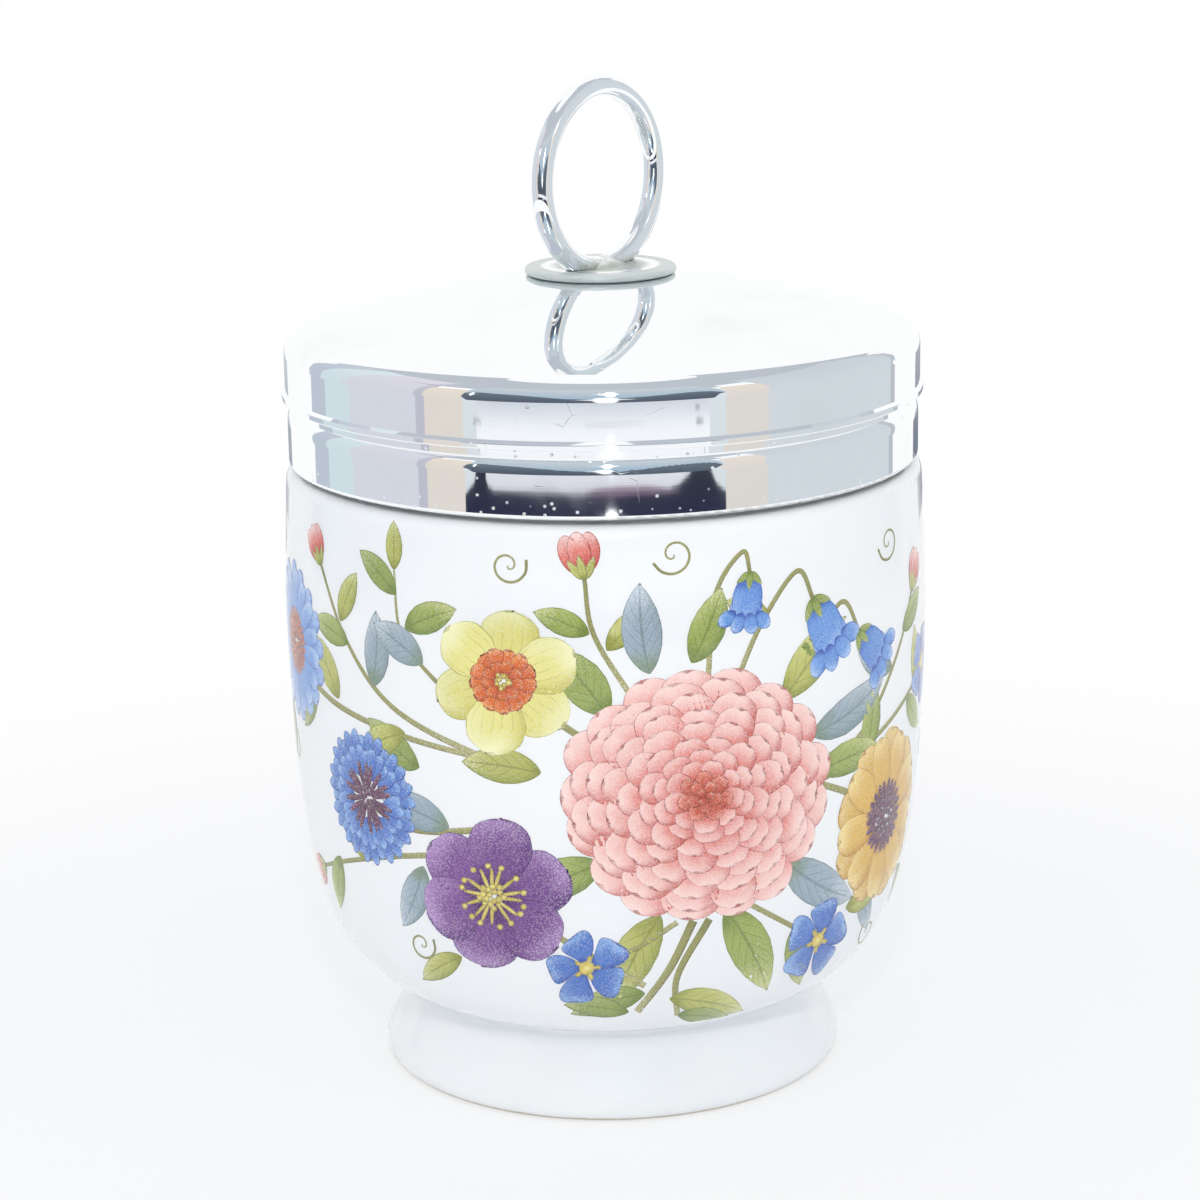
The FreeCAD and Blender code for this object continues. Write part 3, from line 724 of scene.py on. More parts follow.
def printed_colour(name, values):
    """Glazed print, from values for the printed_stroke group."""
    material, tree, shader = new_material(name)
    paint = place_group(tree, "printed_stroke", values)
    glaze = bpy.context.scene.coddler_glaze
    skin = place_group(tree, "glaze_surface", {"Roughness": glaze.roughness, "Ripple": glaze.ripple})
    connect(tree, shader, {
        "Base Color": paint["Color"],
        "Roughness": skin["Roughness"],
        "Normal": skin["Normal"],
        "IOR": 1.52,
    })
    return material


# each ink: its colours at a petal's base, body, tip, shaded side and line, how far up the base's colour
# reaches and where the tip's begins, its number of veins, how dark they are, and its number of side veins
INKS = (
    ("coral_petal", (184, 72, 58), (228, 128, 116), (253, 220, 213), (196, 86, 76), (160, 62, 54),
     0.62, 0.5, 3.0, 0.34, 0.0),
    ("coral_heart", (150, 56, 36), (205, 96, 74), (238, 160, 140), (165, 66, 48), (134, 50, 38),
     0.5, 0.6, 2.0, 0.4, 0.0),
    ("plum_petal", (72, 34, 92), (128, 82, 150), (186, 150, 205), (90, 50, 118), (60, 30, 82),
     0.4, 0.6, 4.0, 0.55, 0.0),
    ("sky_petal", (58, 88, 178), (112, 158, 222), (178, 208, 244), (74, 118, 200), (48, 84, 166),
     0.35, 0.6, 4.0, 0.5, 0.0),
    ("blue_petal", (50, 72, 150), (88, 130, 204), (150, 190, 236), (58, 92, 176), (44, 68, 140),
     0.35, 0.65, 5.0, 0.6, 0.0),
    ("ochre_petal", (150, 92, 40), (226, 184, 92), (245, 222, 150), (196, 142, 58), (158, 108, 46),
     0.35, 0.6, 3.0, 0.5, 0.0),
    ("lemon_petal", (190, 180, 70), (232, 226, 140), (248, 246, 196), (196, 188, 88), (150, 148, 62),
     0.35, 0.6, 3.0, 0.45, 0.0),
    ("orange_frill", (170, 60, 30), (222, 112, 48), (244, 176, 96), (182, 72, 34), (150, 54, 26),
     0.5, 0.7, 2.0, 0.4, 0.0),
    ("rust_seed", (150, 62, 40), (192, 88, 58), (226, 150, 104), (130, 48, 34), (112, 42, 32),
     0.3, 0.8, 0.5, 0.0, 0.0),
    ("plum_seed", (96, 52, 84), (112, 66, 96), (172, 130, 150), (70, 36, 66), (60, 32, 58),
     0.3, 0.8, 0.5, 0.0, 0.0),
    ("yellow_seed", (236, 224, 150), (222, 204, 104), (196, 172, 70), (168, 146, 58), (140, 124, 52),
     0.5, 0.7, 0.5, 0.0, 0.0),
    ("green_leaf", (122, 140, 66), (158, 172, 92), (206, 210, 138), (112, 136, 70), (98, 116, 56),
     0.3, 0.6, 1.0, 0.0, 7.0),
    ("grey_leaf", (132, 150, 128), (158, 174, 188), (202, 212, 224), (118, 140, 140), (102, 122, 116),
     0.35, 0.6, 1.0, 0.0, 7.0),
    ("sap_leaf", (150, 154, 70), (190, 192, 104), (222, 222, 150), (140, 148, 72), (112, 120, 60),
     0.3, 0.6, 1.0, 0.0, 6.0),
    ("stalk", (140, 140, 84), (158, 158, 98), (188, 184, 128), (112, 104, 66), (112, 104, 66),
     0.2, 0.7, 0.5, 0.0, 0.0),
)
STALK_LINE = 0.05


def make_inks(settings):
    """The print's colours, each kept as a material under its own name."""
    make_paint_group()
    names = ("Base", "Body", "Tip", "Shade", "Line")
    for ink, *tones, base_reach, tip_reach, veins, vein_depth, side_veins in INKS:
        colours = {name: shade(*tone) for name, tone in zip(names, tones)}
        printed_colour(ink, {
            **colours,
            "Base reach": base_reach,
            "Tip reach": tip_reach,
            "Veins": veins,
            "Vein depth": vein_depth,
            "Side veins": side_veins,
            "Outline": STALK_LINE if ink == "stalk" else settings.line / MM,
            "Stipple": settings.stipple,
        })


def inks(*names):
    """The materials of some of the print's colours."""
    return [bpy.data.materials[name] for name in names]


def rng(number):
    """Random numbers that are the same on every run."""
    return np.random.default_rng(number)


def around(design, count, reach, length, width, chance, start=0.0, slot=0, tones=(0.2, 0.9), jitter=2.0,
           **form):
    """A ring of petals whose tips lie at a radius."""
    base = design.level
    for n in range(count):
        design.level = base + (2 if n == count - 1 else n % 2)
        turn = start + 360 * n / count + chance.uniform(-jitter, jitter)
        radians = math.radians(turn)
        inner = reach - length
        first = (inner * math.cos(radians), inner * math.sin(radians))
        design.petal(first, turn, length * chance.uniform(0.95, 1.04), width * chance.uniform(0.93, 1.07),
                     slot=slot, tone=chance.uniform(*tones), **form)
    design.level = base + 3


def leaf(design, start, angle, length, width, slot, bend, chance):
    """A leaf with a slightly wavy edge."""
    design.petal(start, angle, length, width, form=(0.75, 0.85), slot=slot, tone=chance.uniform(0.3, 1.0),
                 bend=bend, wave=0.015, waves=6)


class CODDLER_OT_print_dahlia(bpy.types.Operator):
    """Prints the large coral dahlia on the front"""

    bl_idname = "coddler.print_dahlia"
    bl_label = "Print the dahlia"

    def execute(self, context):
        settings = context.scene.coddler_print
        design = Design("print_dahlia", level=FLOWER_LEVEL).at(11.5, 45.5, turn=-12, flat=(1.0, 0.9))
        chance = rng(11)
        rings = (
            (17, 17.6, 9.5, 7.2), (16, 16.0, 9.0, 6.8), (15, 14.2, 8.6, 6.3), (14, 12.3, 8.0, 5.8),
            (13, 10.4, 7.2, 5.2), (12, 8.5, 6.3, 4.6), (10, 6.7, 5.2, 3.9), (9, 5.1, 4.2, 3.2),
        )
        for n, (count, reach, length, width) in enumerate(rings):
            around(design, count, reach, length, width, start=n * 137.5, chance=chance,
                   tones=(0.9 - 0.08 * n, 1.0 - 0.06 * n), form=(0.75, 0.42), wave=0.012, notch=0.015)
        for n, (count, reach, length, width) in enumerate(((7, 3.6, 3.1, 2.4), (5, 2.3, 2.1, 1.7),
                                                           (3, 1.2, 1.2, 1.1))):
            around(design, count, reach, length, width, start=n * 70, chance=chance, slot=1,
                   form=(0.7, 0.5), fine=0.7)
        design.print_on_cup(settings, inks("coral_petal", "coral_heart"))
        return {"FINISHED"}


class CODDLER_OT_print_blossoms(bpy.types.Operator):
    """Prints the smaller flowers round the dahlia, and a sprig on the back"""

    bl_idname = "coddler.print_blossoms"
    bl_label = "Print the blossoms"

    def execute(self, context):
        settings = context.scene.coddler_print
        print_clematis(settings)
        print_daffodil(settings)
        print_cornflower(settings)
        print_coneflower(settings)
        print_aster(settings)
        print_bellflowers(settings)
        print_periwinkles(settings)
        print_buds(settings)
        print_back_sprig(settings)
        return {"FINISHED"}


def seed_head(design, reach, slot, chance, size):
    """A round head of small seeds, laid out in a spiral."""
    count = int((reach / size) ** 2 * 1.25)
    base = design.level
    for n in range(count, 0, -1):
        design.level = base + n % 5
        away = reach * math.sqrt(n / count)
        turn = n * GOLDEN_TURN
        spot = (away * math.cos(turn), away * math.sin(turn))
        design.disc(spot, size * chance.uniform(0.75, 1.1), slot=slot, tone=chance.uniform(0.1, 1.0), sides=8)
    design.level = base + 5


STAMENS = 14


def print_clematis(settings):
    """Six broad plum petals round a tuft of yellow stamens."""
    design = Design("print_clematis", level=FLOWER_LEVEL).at(-14.5, 33.0, turn=14, flat=(1.0, 0.95))
    chance = rng(21)
    around(design, 6, 10.2, 9.6, 8.4, start=8, chance=chance, form=(0.85, 0.5), wave=0.02, bend=10)
    around(design, STAMENS, 4.0, 3.2, 0.5, start=4, slot=1, chance=chance, form=(0.4, 0.4), jitter=8,
           fine=0.5)
    for n in range(STAMENS):
        design.level = FLOWER_LEVEL + 6 + n % 2
        turn = math.radians(4 + 360 * n / STAMENS + chance.uniform(-8, 8))
        design.disc((4.1 * math.cos(turn), 4.1 * math.sin(turn)), 0.42, slot=1, tone=chance.uniform(0.3, 1),
                    sides=8)
    seed_head(design, 1.7, 1, chance, size=0.45)
    design.print_on_cup(settings, inks("plum_petal", "yellow_seed"))


def print_daffodil(settings):
    """Two rings of pale yellow petals round an orange frill."""
    design = Design("print_daffodil", level=FLOWER_LEVEL).at(-12.5, 60.0, turn=20, flat=(1.0, 0.93))
    chance = rng(31)
    around(design, 3, 9.6, 9.2, 7.4, start=60, chance=chance, form=(0.9, 0.55), wave=0.02, tones=(0.2, 0.6))
    around(design, 3, 9.8, 9.4, 7.6, start=0, chance=chance, form=(0.9, 0.55), wave=0.02, tones=(0.7, 1.0))
    around(design, 13, 4.2, 2.6, 2.1, chance=chance, slot=1, form=(0.7, 0.3), wave=0.06, fine=0.7)
    around(design, 9, 2.6, 1.8, 1.6, start=12, chance=chance, slot=1, form=(0.7, 0.4), tones=(0, 0.3),
           fine=0.6)
    seed_head(design, 1.0, 2, chance, size=0.4)
    design.print_on_cup(settings, inks("lemon_petal", "orange_frill", "yellow_seed"))


def print_cornflower(settings):
    """Two rings of blue florets of four petals each, round a plum heart."""
    design = Design("print_cornflower", level=FLOWER_LEVEL).at(-33.0, 42.5, turn=10, flat=(0.96, 1.0))
    chance = rng(41)
    for ring, (count, reach, size) in enumerate(((11, 9.0, 5.2), (9, 7.0, 4.6))):
        base = design.level
        for n in range(count):
            design.level = base + 4 * (2 if n == count - 1 else n % 2)
            turn = ring * 17 + 360 * n / count + chance.uniform(-3, 3)
            radians = math.radians(turn)
            first = ((reach - size) * math.cos(radians), (reach - size) * math.sin(radians))
            for spread in (-34, 34, -13, 13):
                tone = chance.uniform(0.3 + 0.3 * ring, 0.7 + 0.3 * ring)
                design.petal(first, turn + spread, size * (1.0 - abs(spread) * 0.004), 1.9, form=(1.1, 0.6),
                             tone=tone, bend=spread * 0.5, fine=0.7)
        design.level = base + 12
    around(design, 18, 4.6, 3.6, 0.8, chance=chance, slot=1, form=(0.5, 0.4), jitter=6, fine=0.5)
    seed_head(design, 1.8, 1, chance, size=0.42)
    design.print_on_cup(settings, inks("blue_petal", "plum_seed"))


def print_coneflower(settings):
    """Two rings of notched ochre petals round a head of plum seeds."""
    design = Design("print_coneflower", level=FLOWER_LEVEL).at(41.0, 37.0, turn=-18, flat=(0.94, 1.0))
    chance = rng(51)
    around(design, 9, 11.4, 9.0, 5.6, start=20, chance=chance, form=(0.55, 0.35), notch=0.06, wave=0.015,
           tones=(0.1, 0.5))
    around(design, 9, 10.8, 8.4, 5.2, start=0, chance=chance, form=(0.55, 0.35), notch=0.06, wave=0.015,
           tones=(0.6, 1.0))
    around(design, 22, 4.9, 2.2, 0.9, chance=chance, slot=1, form=(0.6, 0.5), fine=0.5)
    seed_head(design, 3.6, 1, chance, size=0.55)
    design.print_on_cup(settings, inks("ochre_petal", "plum_seed"))


def print_aster(settings):
    """Two rings of narrow sky blue petals round a head of rust seeds."""
    design = Design("print_aster", level=FLOWER_LEVEL).at(-51.0, 58.5, turn=6, flat=(0.94, 1.0))
    chance = rng(61)
    around(design, 17, 10.2, 7.6, 3.0, chance=chance, form=(0.6, 0.35), notch=0.04, tones=(0.1, 0.5))
    around(design, 16, 9.2, 6.8, 2.7, start=11, chance=chance, form=(0.6, 0.35), notch=0.04, tones=(0.6, 1.0))
    around(design, 26, 4.4, 1.7, 0.8, chance=chance, slot=1, form=(0.6, 0.5), fine=0.5)
    seed_head(design, 3.3, 1, chance, size=0.5)
    design.print_on_cup(settings, inks("sky_petal", "rust_seed"))


BELLS = ((26.5, 67.5, -62, 8.6), (34.5, 62.0, -40, 7.6), (17.5, 72.0, -98, 6.4))


def print_bellflowers(settings):
    """Three hanging bells, each with its flared lip and sepals."""
    design = Design("print_bellflowers", level=FLOWER_LEVEL)
    chance = rng(71)
    for across, up, turn, size in BELLS:
        design.at(across, up, turn=turn).level = FLOWER_LEVEL
        for spread, width in ((-30, 0.5), (30, 0.5), (0, 0.62)):
            design.petal((0, 0), spread * 0.5, size, size * width, form=(0.5, 0.55), bend=spread * 1.4,
                         tone=chance.uniform(0.2, 0.9))
        for spread in (-46, 46, -16, 16):
            aside = math.radians(spread * 0.4)
            first = (size * 0.72 * math.cos(aside), size * 0.72 * math.sin(aside))
            design.petal(first, spread, size * 0.42, size * 0.3, form=(0.7, 0.6),
                         tone=chance.uniform(0.5, 1.0), bend=spread * 0.8, fine=0.8)
        for spread in (-50, 50, 0):
            design.petal((-size * 0.04, 0), spread, size * 0.34, size * 0.14, slot=1, form=(0.5, 0.8),
                         tone=0.6, fine=0.6)
    design.print_on_cup(settings, inks("sky_petal", "green_leaf"))


PERIWINKLES = ((28.0, 24.0, 5.6, 10), (-3.0, 24.5, 5.0, 40), (54.5, 53.5, 5.6, 0))


def periwinkle(design, size, chance, petal=0, eye=1):
    """Five broad petals round a small eye."""
    around(design, 5, size, size * 0.94, size * 0.86, chance=chance, slot=petal, form=(1.0, 0.28), bend=34,
           notch=0.03)
    design.disc((0, 0), size * 0.2, slot=eye, tone=0.9)
    around(design, 5, size * 0.36, size * 0.2, size * 0.12, start=36, chance=chance, slot=eye,
           form=(0.5, 0.5), fine=0.5)


def print_periwinkles(settings):
    """The three small blue flowers at the spray's edges."""
    design = Design("print_periwinkles", level=FLOWER_LEVEL)
    chance = rng(81)
    for across, up, size, turn in PERIWINKLES:
        design.at(across, up, turn=turn, flat=(1.0, 0.92)).level = FLOWER_LEVEL
        periwinkle(design, size, chance)
    design.print_on_cup(settings, inks("blue_petal", "yellow_seed"))


BUDS = ((-2.5, 73.0, 100, 5.4), (48.5, 64.5, 62, 5.2), (-41.5, 70.5, 118, 4.8), (-46.0, 30.0, 208, 4.6))


def bud(design, size, petal=0, sepal=1, chance=None):
    """A closed bud in its sepals, whose tones are drawn by chance or are all the same."""
    for spread, tone in ((-16, 0.4), (16, 0.6), (0, 0.95)):
        design.petal((0, 0), spread, size, size * 0.52, form=(0.7, 0.6), slot=petal, tone=tone,
                     bend=-spread * 1.6)
    for spread in (-34, 34, 4):
        tone = chance.uniform(0.3, 0.9) if chance else 0.6
        design.petal((-size * 0.06, 0), spread, size * 0.55, size * 0.2, slot=sepal, form=(0.5, 0.9),
                     tone=tone, bend=-spread * 0.6, fine=0.7)


def print_buds(settings):
    """The four coral buds at the spray's edges."""
    design = Design("print_buds", level=FLOWER_LEVEL)
    chance = rng(91)
    for across, up, turn, size in BUDS:
        design.at(across, up, turn=turn).level = FLOWER_LEVEL
        bud(design, size, chance=chance)
    design.print_on_cup(settings, inks("coral_petal", "sap_leaf"))


# the sprig on the back, in millimetres from the middle of the back and up from the table: its stems with
# their widths, its leaves with direction, length, width, colour and bend, its buds with direction and size
SPRIG_MIDDLE, SPRIG_FLOWER = math.pi * 40.5, (1.5, 51.5, 5.4)
SPRIG_STEMS = (
    (((-3, 29), (-1.5, 38), (1.5, 51)), 0.9, 0.7), (((-1.6, 37), (-6, 45), (-8.5, 55)), 0.7, 0.5),
    (((-1, 41), (5, 47), (10, 56)), 0.7, 0.5), (((-2.4, 33), (3, 36), (8, 36.5)), 0.6, 0.4),
)
SPRIG_LEAVES = (
    (-2.6, 33, 138, 8.5, 3.8, 1, 16), (3, 36, 18, 8.5, 3.6, 2, -14), (-5.4, 44, 172, 8.0, 3.6, 2, 14),
    (-4.5, 42, 52, 6.0, 2.6, 1, -12), (5.5, 47.5, -12, 8.0, 3.4, 1, 14), (7, 50, 82, 6.5, 2.8, 2, -12),
    (-7.6, 50, 146, 6.0, 2.6, 1, 12), (8, 36.5, -24, 6.0, 2.4, 1, 12),
)
SPRIG_BUDS = ((-8.5, 55, 104, 4.8), (10, 56, 66, 5.0))


def print_back_sprig(settings):
    """The small sprig in the middle of the back."""
    design = Design("print_back_sprig")
    chance = rng(111)
    for route, first, last in SPRIG_STEMS:
        design.stem([(SPRIG_MIDDLE + across, up) for across, up in route], first, last, tone=0.6)
    for n, (across, up, angle, length, width, slot, bend) in enumerate(SPRIG_LEAVES):
        design.level = 5 + n
        leaf(design, (SPRIG_MIDDLE + across, up), angle, length, width, slot, bend, chance)
    for across, up, turn, size in SPRIG_BUDS:
        design.at(SPRIG_MIDDLE + across, up, turn=turn).level = FLOWER_LEVEL
        bud(design, size, petal=3, sepal=2)
    across, up, size = SPRIG_FLOWER
    design.at(SPRIG_MIDDLE + across, up, turn=20).level = FLOWER_LEVEL
    periwinkle(design, size, chance, petal=4, eye=5)
    design.print_on_cup(settings, inks("stalk", "green_leaf", "sap_leaf", "coral_petal", "blue_petal",
                                       "yellow_seed"))


class CODDLER_OT_print_greenery(bpy.types.Operator):
    """Prints the stems, leaves and tendrils"""

    bl_idname = "coddler.print_greenery"
    bl_label = "Print the greenery"

    def execute(self, context):
        settings = context.scene.coddler_print
        make_inks(settings)
        design = Design("print_stems")
        for n, (route, first, last) in enumerate(STEMS):
            design.level = n % 3
            design.stem(route, first, last, tone=0.6)
        for across, up, turn, size, turns in TENDRILS:
            curl = []
            for share in np.linspace(0, 1, TENDRIL_POINTS).tolist():
                angle = math.radians(turn + 360 * turns * share)
                away = size * (1 - share) ** 0.8
                curl.append((across + away * math.cos(angle), up + away * math.sin(angle)))
            design.stem(curl, 0.34, 0.2, tone=0.8, steps=5)
        design.print_on_cup(settings, inks("stalk"))
        design = Design("print_leaves")
        chance = rng(101)
        for n, (across, up, angle, length, width, slot, bend) in enumerate(LEAVES):
            design.level = 3 + n % 12
            leaf(design, (across, up), angle, length, width, slot, bend, chance)
        design.print_on_cup(settings, inks("green_leaf", "grey_leaf", "sap_leaf"))
        return {"FINISHED"}


# where each stem runs, in millimetres round the cup from the middle of the front and up from the table,
# and its width at both ends
STEMS = (
    (((10, 30), (7, 24), (3, 18.5)), 1.1, 0.9),
    (((12, 30), (8, 23), (8, 17.5)), 1.0, 0.7),
    (((-14, 33), (-4, 27), (4, 22)), 0.8, 0.8),
    (((-33, 42), (-25, 40), (-12, 42)), 0.9, 0.8),
    (((-12, 60), (-4, 54), (3, 50)), 0.9, 0.8),
    (((-51, 58), (-42, 54), (-30, 52), (-12, 50)), 0.9, 0.7),
    (((41, 37), (33, 42), (24, 46)), 1.0, 0.8),
    (((26.5, 67.5), (24, 71.5), (19, 66), (15, 58)), 0.6, 0.7),
    (((34.5, 62), (31, 66.5), (25, 60), (18, 55)), 0.6, 0.7),
    (((17.5, 72), (16.5, 74.8), (13, 70), (12, 60)), 0.5, 0.7),
    (((-2.5, 73), (-1.5, 66), (3, 58)), 0.5, 0.7),
    (((48.5, 64.5), (44, 58), (36, 50), (28, 46)), 0.5, 0.8),
    (((54.5, 53.5), (47, 51), (38, 48), (28, 45)), 0.6, 0.8),
    (((28, 24), (22, 28), (16, 32)), 0.6, 0.7),
    (((-3, 24.5), (3, 27), (8, 30)), 0.6, 0.7),
    (((-41.5, 70.5), (-36, 62), (-28, 55), (-14, 50)), 0.5, 0.8),
    (((-46, 30), (-38, 33), (-28, 36), (-18, 38)), 0.5, 0.8),
    (((-20, 58), (-26, 64), (-27, 72)), 0.6, 0.3),
)
TENDRIL_POINTS = 14
# middle, first direction in degrees, size and number of turns of each tendril
TENDRILS = (
    (8.0, 75.2, 200, 2.6, 1.3), (-11.5, 74.0, 20, 2.4, -1.4), (41.0, 72.0, 190, 2.5, 1.4),
    (-55.0, 44.0, 60, 2.4, -1.3), (40.0, 21.5, 140, 2.4, 1.3), (-25.0, 25.0, 30, 2.2, -1.4),
    (58.0, 42.0, 120, 2.3, 1.2),
)
# where each leaf starts, its direction, length, width, colour and bend
LEAVES = (
    (14, 31, -62, 13.5, 5.6, 0, -18), (6, 31, -118, 12.5, 5.2, 2, 20), (22, 36, -34, 14.5, 5.4, 1, 22),
    (-1, 38, 200, 11, 5, 0, -14), (4, 21, 196, 9.5, 3.6, 0, 20), (7, 20, -18, 10.5, 3.8, 2, -24),
    (22, 56, 42, 13, 5.4, 2, -20), (26, 51, 18, 15, 4.8, 1, 24), (27, 46, 4, 12, 4.4, 0, -18),
    (0, 56, 128, 10.5, 5.2, 0, 16), (5, 61, 96, 11, 4.8, 1, -16), (10, 62, 66, 9.5, 4.4, 0, 14),
    (-20, 41, 168, 10.5, 4.6, 1, 18), (-24, 48, 150, 9.5, 4.4, 0, -18), (-26, 52, 206, 9.0, 3.8, 2, 20),
    (-38, 54, 128, 9.0, 4.2, 2, 14), (-44, 55, 236, 8.5, 3.8, 0, -14), (-31, 57, 84, 9.5, 4.2, 1, 16),
    (-35.5, 61.5, 168, 8.0, 3.6, 0, 18), (-37, 64, 62, 7.5, 3.2, 2, -16),
    (-23, 61, 152, 8.5, 4.4, 1, 14), (-25.5, 65, 24, 8.0, 3.8, 0, -16), (-26.8, 69, 142, 7.5, 3.4, 0, 14),
    (-27, 72, 88, 6.0, 2.6, 2, 0),
    (-40, 33, 250, 8.5, 3.8, 0, 18), (-34, 34, 128, 7.5, 3.2, 2, 12), (-24, 35.5, 246, 9.5, 4.2, 1, -16),
    (-19, 24.5, 214, 8.0, 3.2, 2, 18), (36, 46, 78, 9.0, 4.0, 0, 14), (42, 56, 156, 8.5, 3.6, 1, -16),
    (45, 60, 28, 8.0, 3.6, 0, 14), (50, 52, 92, 7.5, 3.2, 2, 12), (47, 51, -40, 8.5, 3.6, 0, 16),
    (33, 27, 8, 8.5, 3.6, 2, 16), (24, 27, -80, 9.0, 3.8, 0, 14), (48, 28, -58, 9.5, 4.0, 0, -16),
    (36, 30, -66, 9.0, 3.6, 1, 14), (-2, 66, 158, 7.0, 3.2, 0, 12), (0, 64, 44, 7.5, 3.2, 2, -12),
    (20, 66, 150, 6.5, 3.0, 2, 12), (24.5, 62, -8, 7.0, 3.0, 0, -14), (-56, 50, 268, 8.0, 3.6, 0, 12),
    (-58, 68, 96, 6.5, 2.8, 2, -12), (2, 18.5, 172, 8.0, 2.8, 0, 16), (8, 17.6, -14, 7.5, 2.6, 0, -12),
    (-8, 49, 176, 10.0, 4.4, 2, 14),
)


# ---------------------------------------------------------------- lid


class CODDLER_OT_plate_lid(bpy.types.Operator):
    """Gives the lid's metal parts bright chrome plating"""

    bl_idname = "coddler.plate_lid"
    bl_label = "Plate the lid"

    def execute(self, context):
        settings = context.scene.coddler_plating
        dress("lid_cap", bright_chrome("chrome_cap", settings, lathe=1.0))
        dress("thread_collar", bright_chrome("chrome_collar", settings, lathe=1.0, worn=True))
        dress("backing_washer", bright_chrome("chrome_washer", settings, lathe=0.4))
        dress("ring_seat", bright_chrome("chrome_plate", settings, lathe=0.3, brazed=True))
        dress("lifting_ring", bright_chrome("chrome_wire", settings, lathe=0.0, brazed=True))
        return {"FINISHED"}


def bright_chrome(name, settings, lathe, worn=False, brazed=False):
    """Chrome with hairlines, pits and dull spots. lathe is the strength of the polishing lines round it.

    worn adds the chatter under the lip and the chipped plating along the rolled edge, and brazed the satin
    plate and the braze at the ring's foot.
    """
    material, tree, shader = new_material(name)
    where, across, along, height = places(tree)
    chipped = 0.02
    if worn:
        edge = fade(tree, height, COLLAR_EDGE + 0.5 * MM, COLLAR_EDGE + 3.2 * MM, 0.5, 0.0)
        groove = fade(tree, height, CAP_EDGE - 2.2 * MM, CAP_EDGE - 0.6 * MM, 0.0, 0.45)
        chipped = calc(tree, "ADD", calc(tree, "MAXIMUM", edge, groove), 0.015)
    wear = place_group(tree, "handling_wear", {
        "Scratch size": 210.0, "Scratch width": 0.012, "Pit size": 1150.0, "Pit share": chipped,
    })
    around = grain(tree, stretched(tree, where, (6.0, 6.0, 2600.0)), 1.0, 3.0, 0.7)
    turned = product(tree, around, 0.25 * lathe)
    relief = calc(tree, "SUBTRACT", turned, calc(tree, "ADD", wear["Scratches"], wear["Pits"]))
    swell = product(tree, grain(tree, where, 75.0, 2.0), settings.swell)
    relief = calc(tree, "MULTIPLY_ADD", relief, settings.scratch, swell)
    rough = calc(tree, "MULTIPLY_ADD", wear["Pits"], 0.4, settings.roughness)
    rough = calc(tree, "ADD", rough, fade(tree, wear["Smears"], 0.45, 0.8, 0.0, 0.03))
    rough = calc(tree, "MULTIPLY_ADD", wear["Scratches"], 0.12, rough)
    colour = blend(tree, fade(tree, wear["Smears"], 0.5, 0.85, 0.0, 0.5), settings.chrome, settings.tarnish)
    metal = 1.0
    if worn:
        bearing = calc(tree, "ARCTAN2", across, product(tree, along, -1.0))
        ribs = calc(tree, "SINE", product(tree, bearing, 340.0))
        band = fade(tree, height, CAP_EDGE - 3.0 * MM, CAP_EDGE - 1.6 * MM)
        patch = product(tree, fade(tree, bearing, RIBS_FROM, RIBS_FROM + 0.06),
                        fall(tree, bearing, RIBS_TO - 0.05, RIBS_TO))
        ribs = product(tree, ribs, product(tree, band, patch))
        relief = calc(tree, "MULTIPLY_ADD", ribs, settings.scratch * 3, relief)
    if brazed:
        wavy = calc(tree, "MULTIPLY_ADD", grain(tree, where, 650.0, 2.0), 1.6 * MM, height)
        reach = distance(tree, across, along)
        joint = fall(tree, wavy, BRAZE_TOP, BRAZE_TOP + 1.5 * MM)
        joint = product(tree, joint, fall(tree, reach, BRAZE_REACH, BRAZE_REACH + 1.6 * MM))
        joint = product(tree, joint, fade(tree, height, SEAT_TOP - 0.25 * MM, SEAT_TOP + 0.05 * MM))
        satin = product(tree, fall(tree, height, SEAT_TOP + 0.05 * MM, SEAT_TOP + 0.2 * MM),
                        fade(tree, reach, 7.0 * MM, 7.8 * MM))
        colour = blend(tree, satin, colour, settings.satin)
        colour = blend(tree, joint, colour, settings.braze)
        rough = calc(tree, "MULTIPLY_ADD", joint, 0.26, rough)
        rough = calc(tree, "MULTIPLY_ADD", satin, 0.34, rough)
        metal = calc(tree, "MULTIPLY_ADD", calc(tree, "MAXIMUM", satin, joint), -0.55, 1.0)
        lumps = product(tree, grain(tree, where, 900.0, 3.0), joint)
        relief = calc(tree, "MULTIPLY_ADD", lumps, 0.12 * MM, relief)
    connect(tree, shader, {
        "Base Color": colour,
        "Metallic": metal,
        "Roughness": rough,
        "Normal": bumped(tree, relief),
    })
    return material


class CODDLER_OT_fit_seal(bpy.types.Operator):
    """Gives the sealing ring its matt rubber"""

    bl_idname = "coddler.fit_seal"
    bl_label = "Fit the seal"

    def execute(self, context):
        dress("sealing_ring", seal_rubber())
        return {"FINISHED"}


def seal_rubber():
    """Matt red rubber with a pale bloom."""
    material, tree, shader = new_material("seal_rubber")
    where, _, _, _ = places(tree)
    bloom = fade(tree, grain(tree, where, 180.0, 4.0, 0.6), 0.4, 0.75)
    fine = grain(tree, where, 4000.0, 2.0)
    connect(tree, shader, {
        "Base Color": blend(tree, bloom, shade(132, 58, 42), shade(164, 98, 78)),
        "Roughness": fade(tree, fine, 0.3, 0.7, 0.5, 0.75),
        "Normal": bumped(tree, product(tree, fine, 0.01 * MM)),
    })
    return material


# ---------------------------------------------------------------- studio


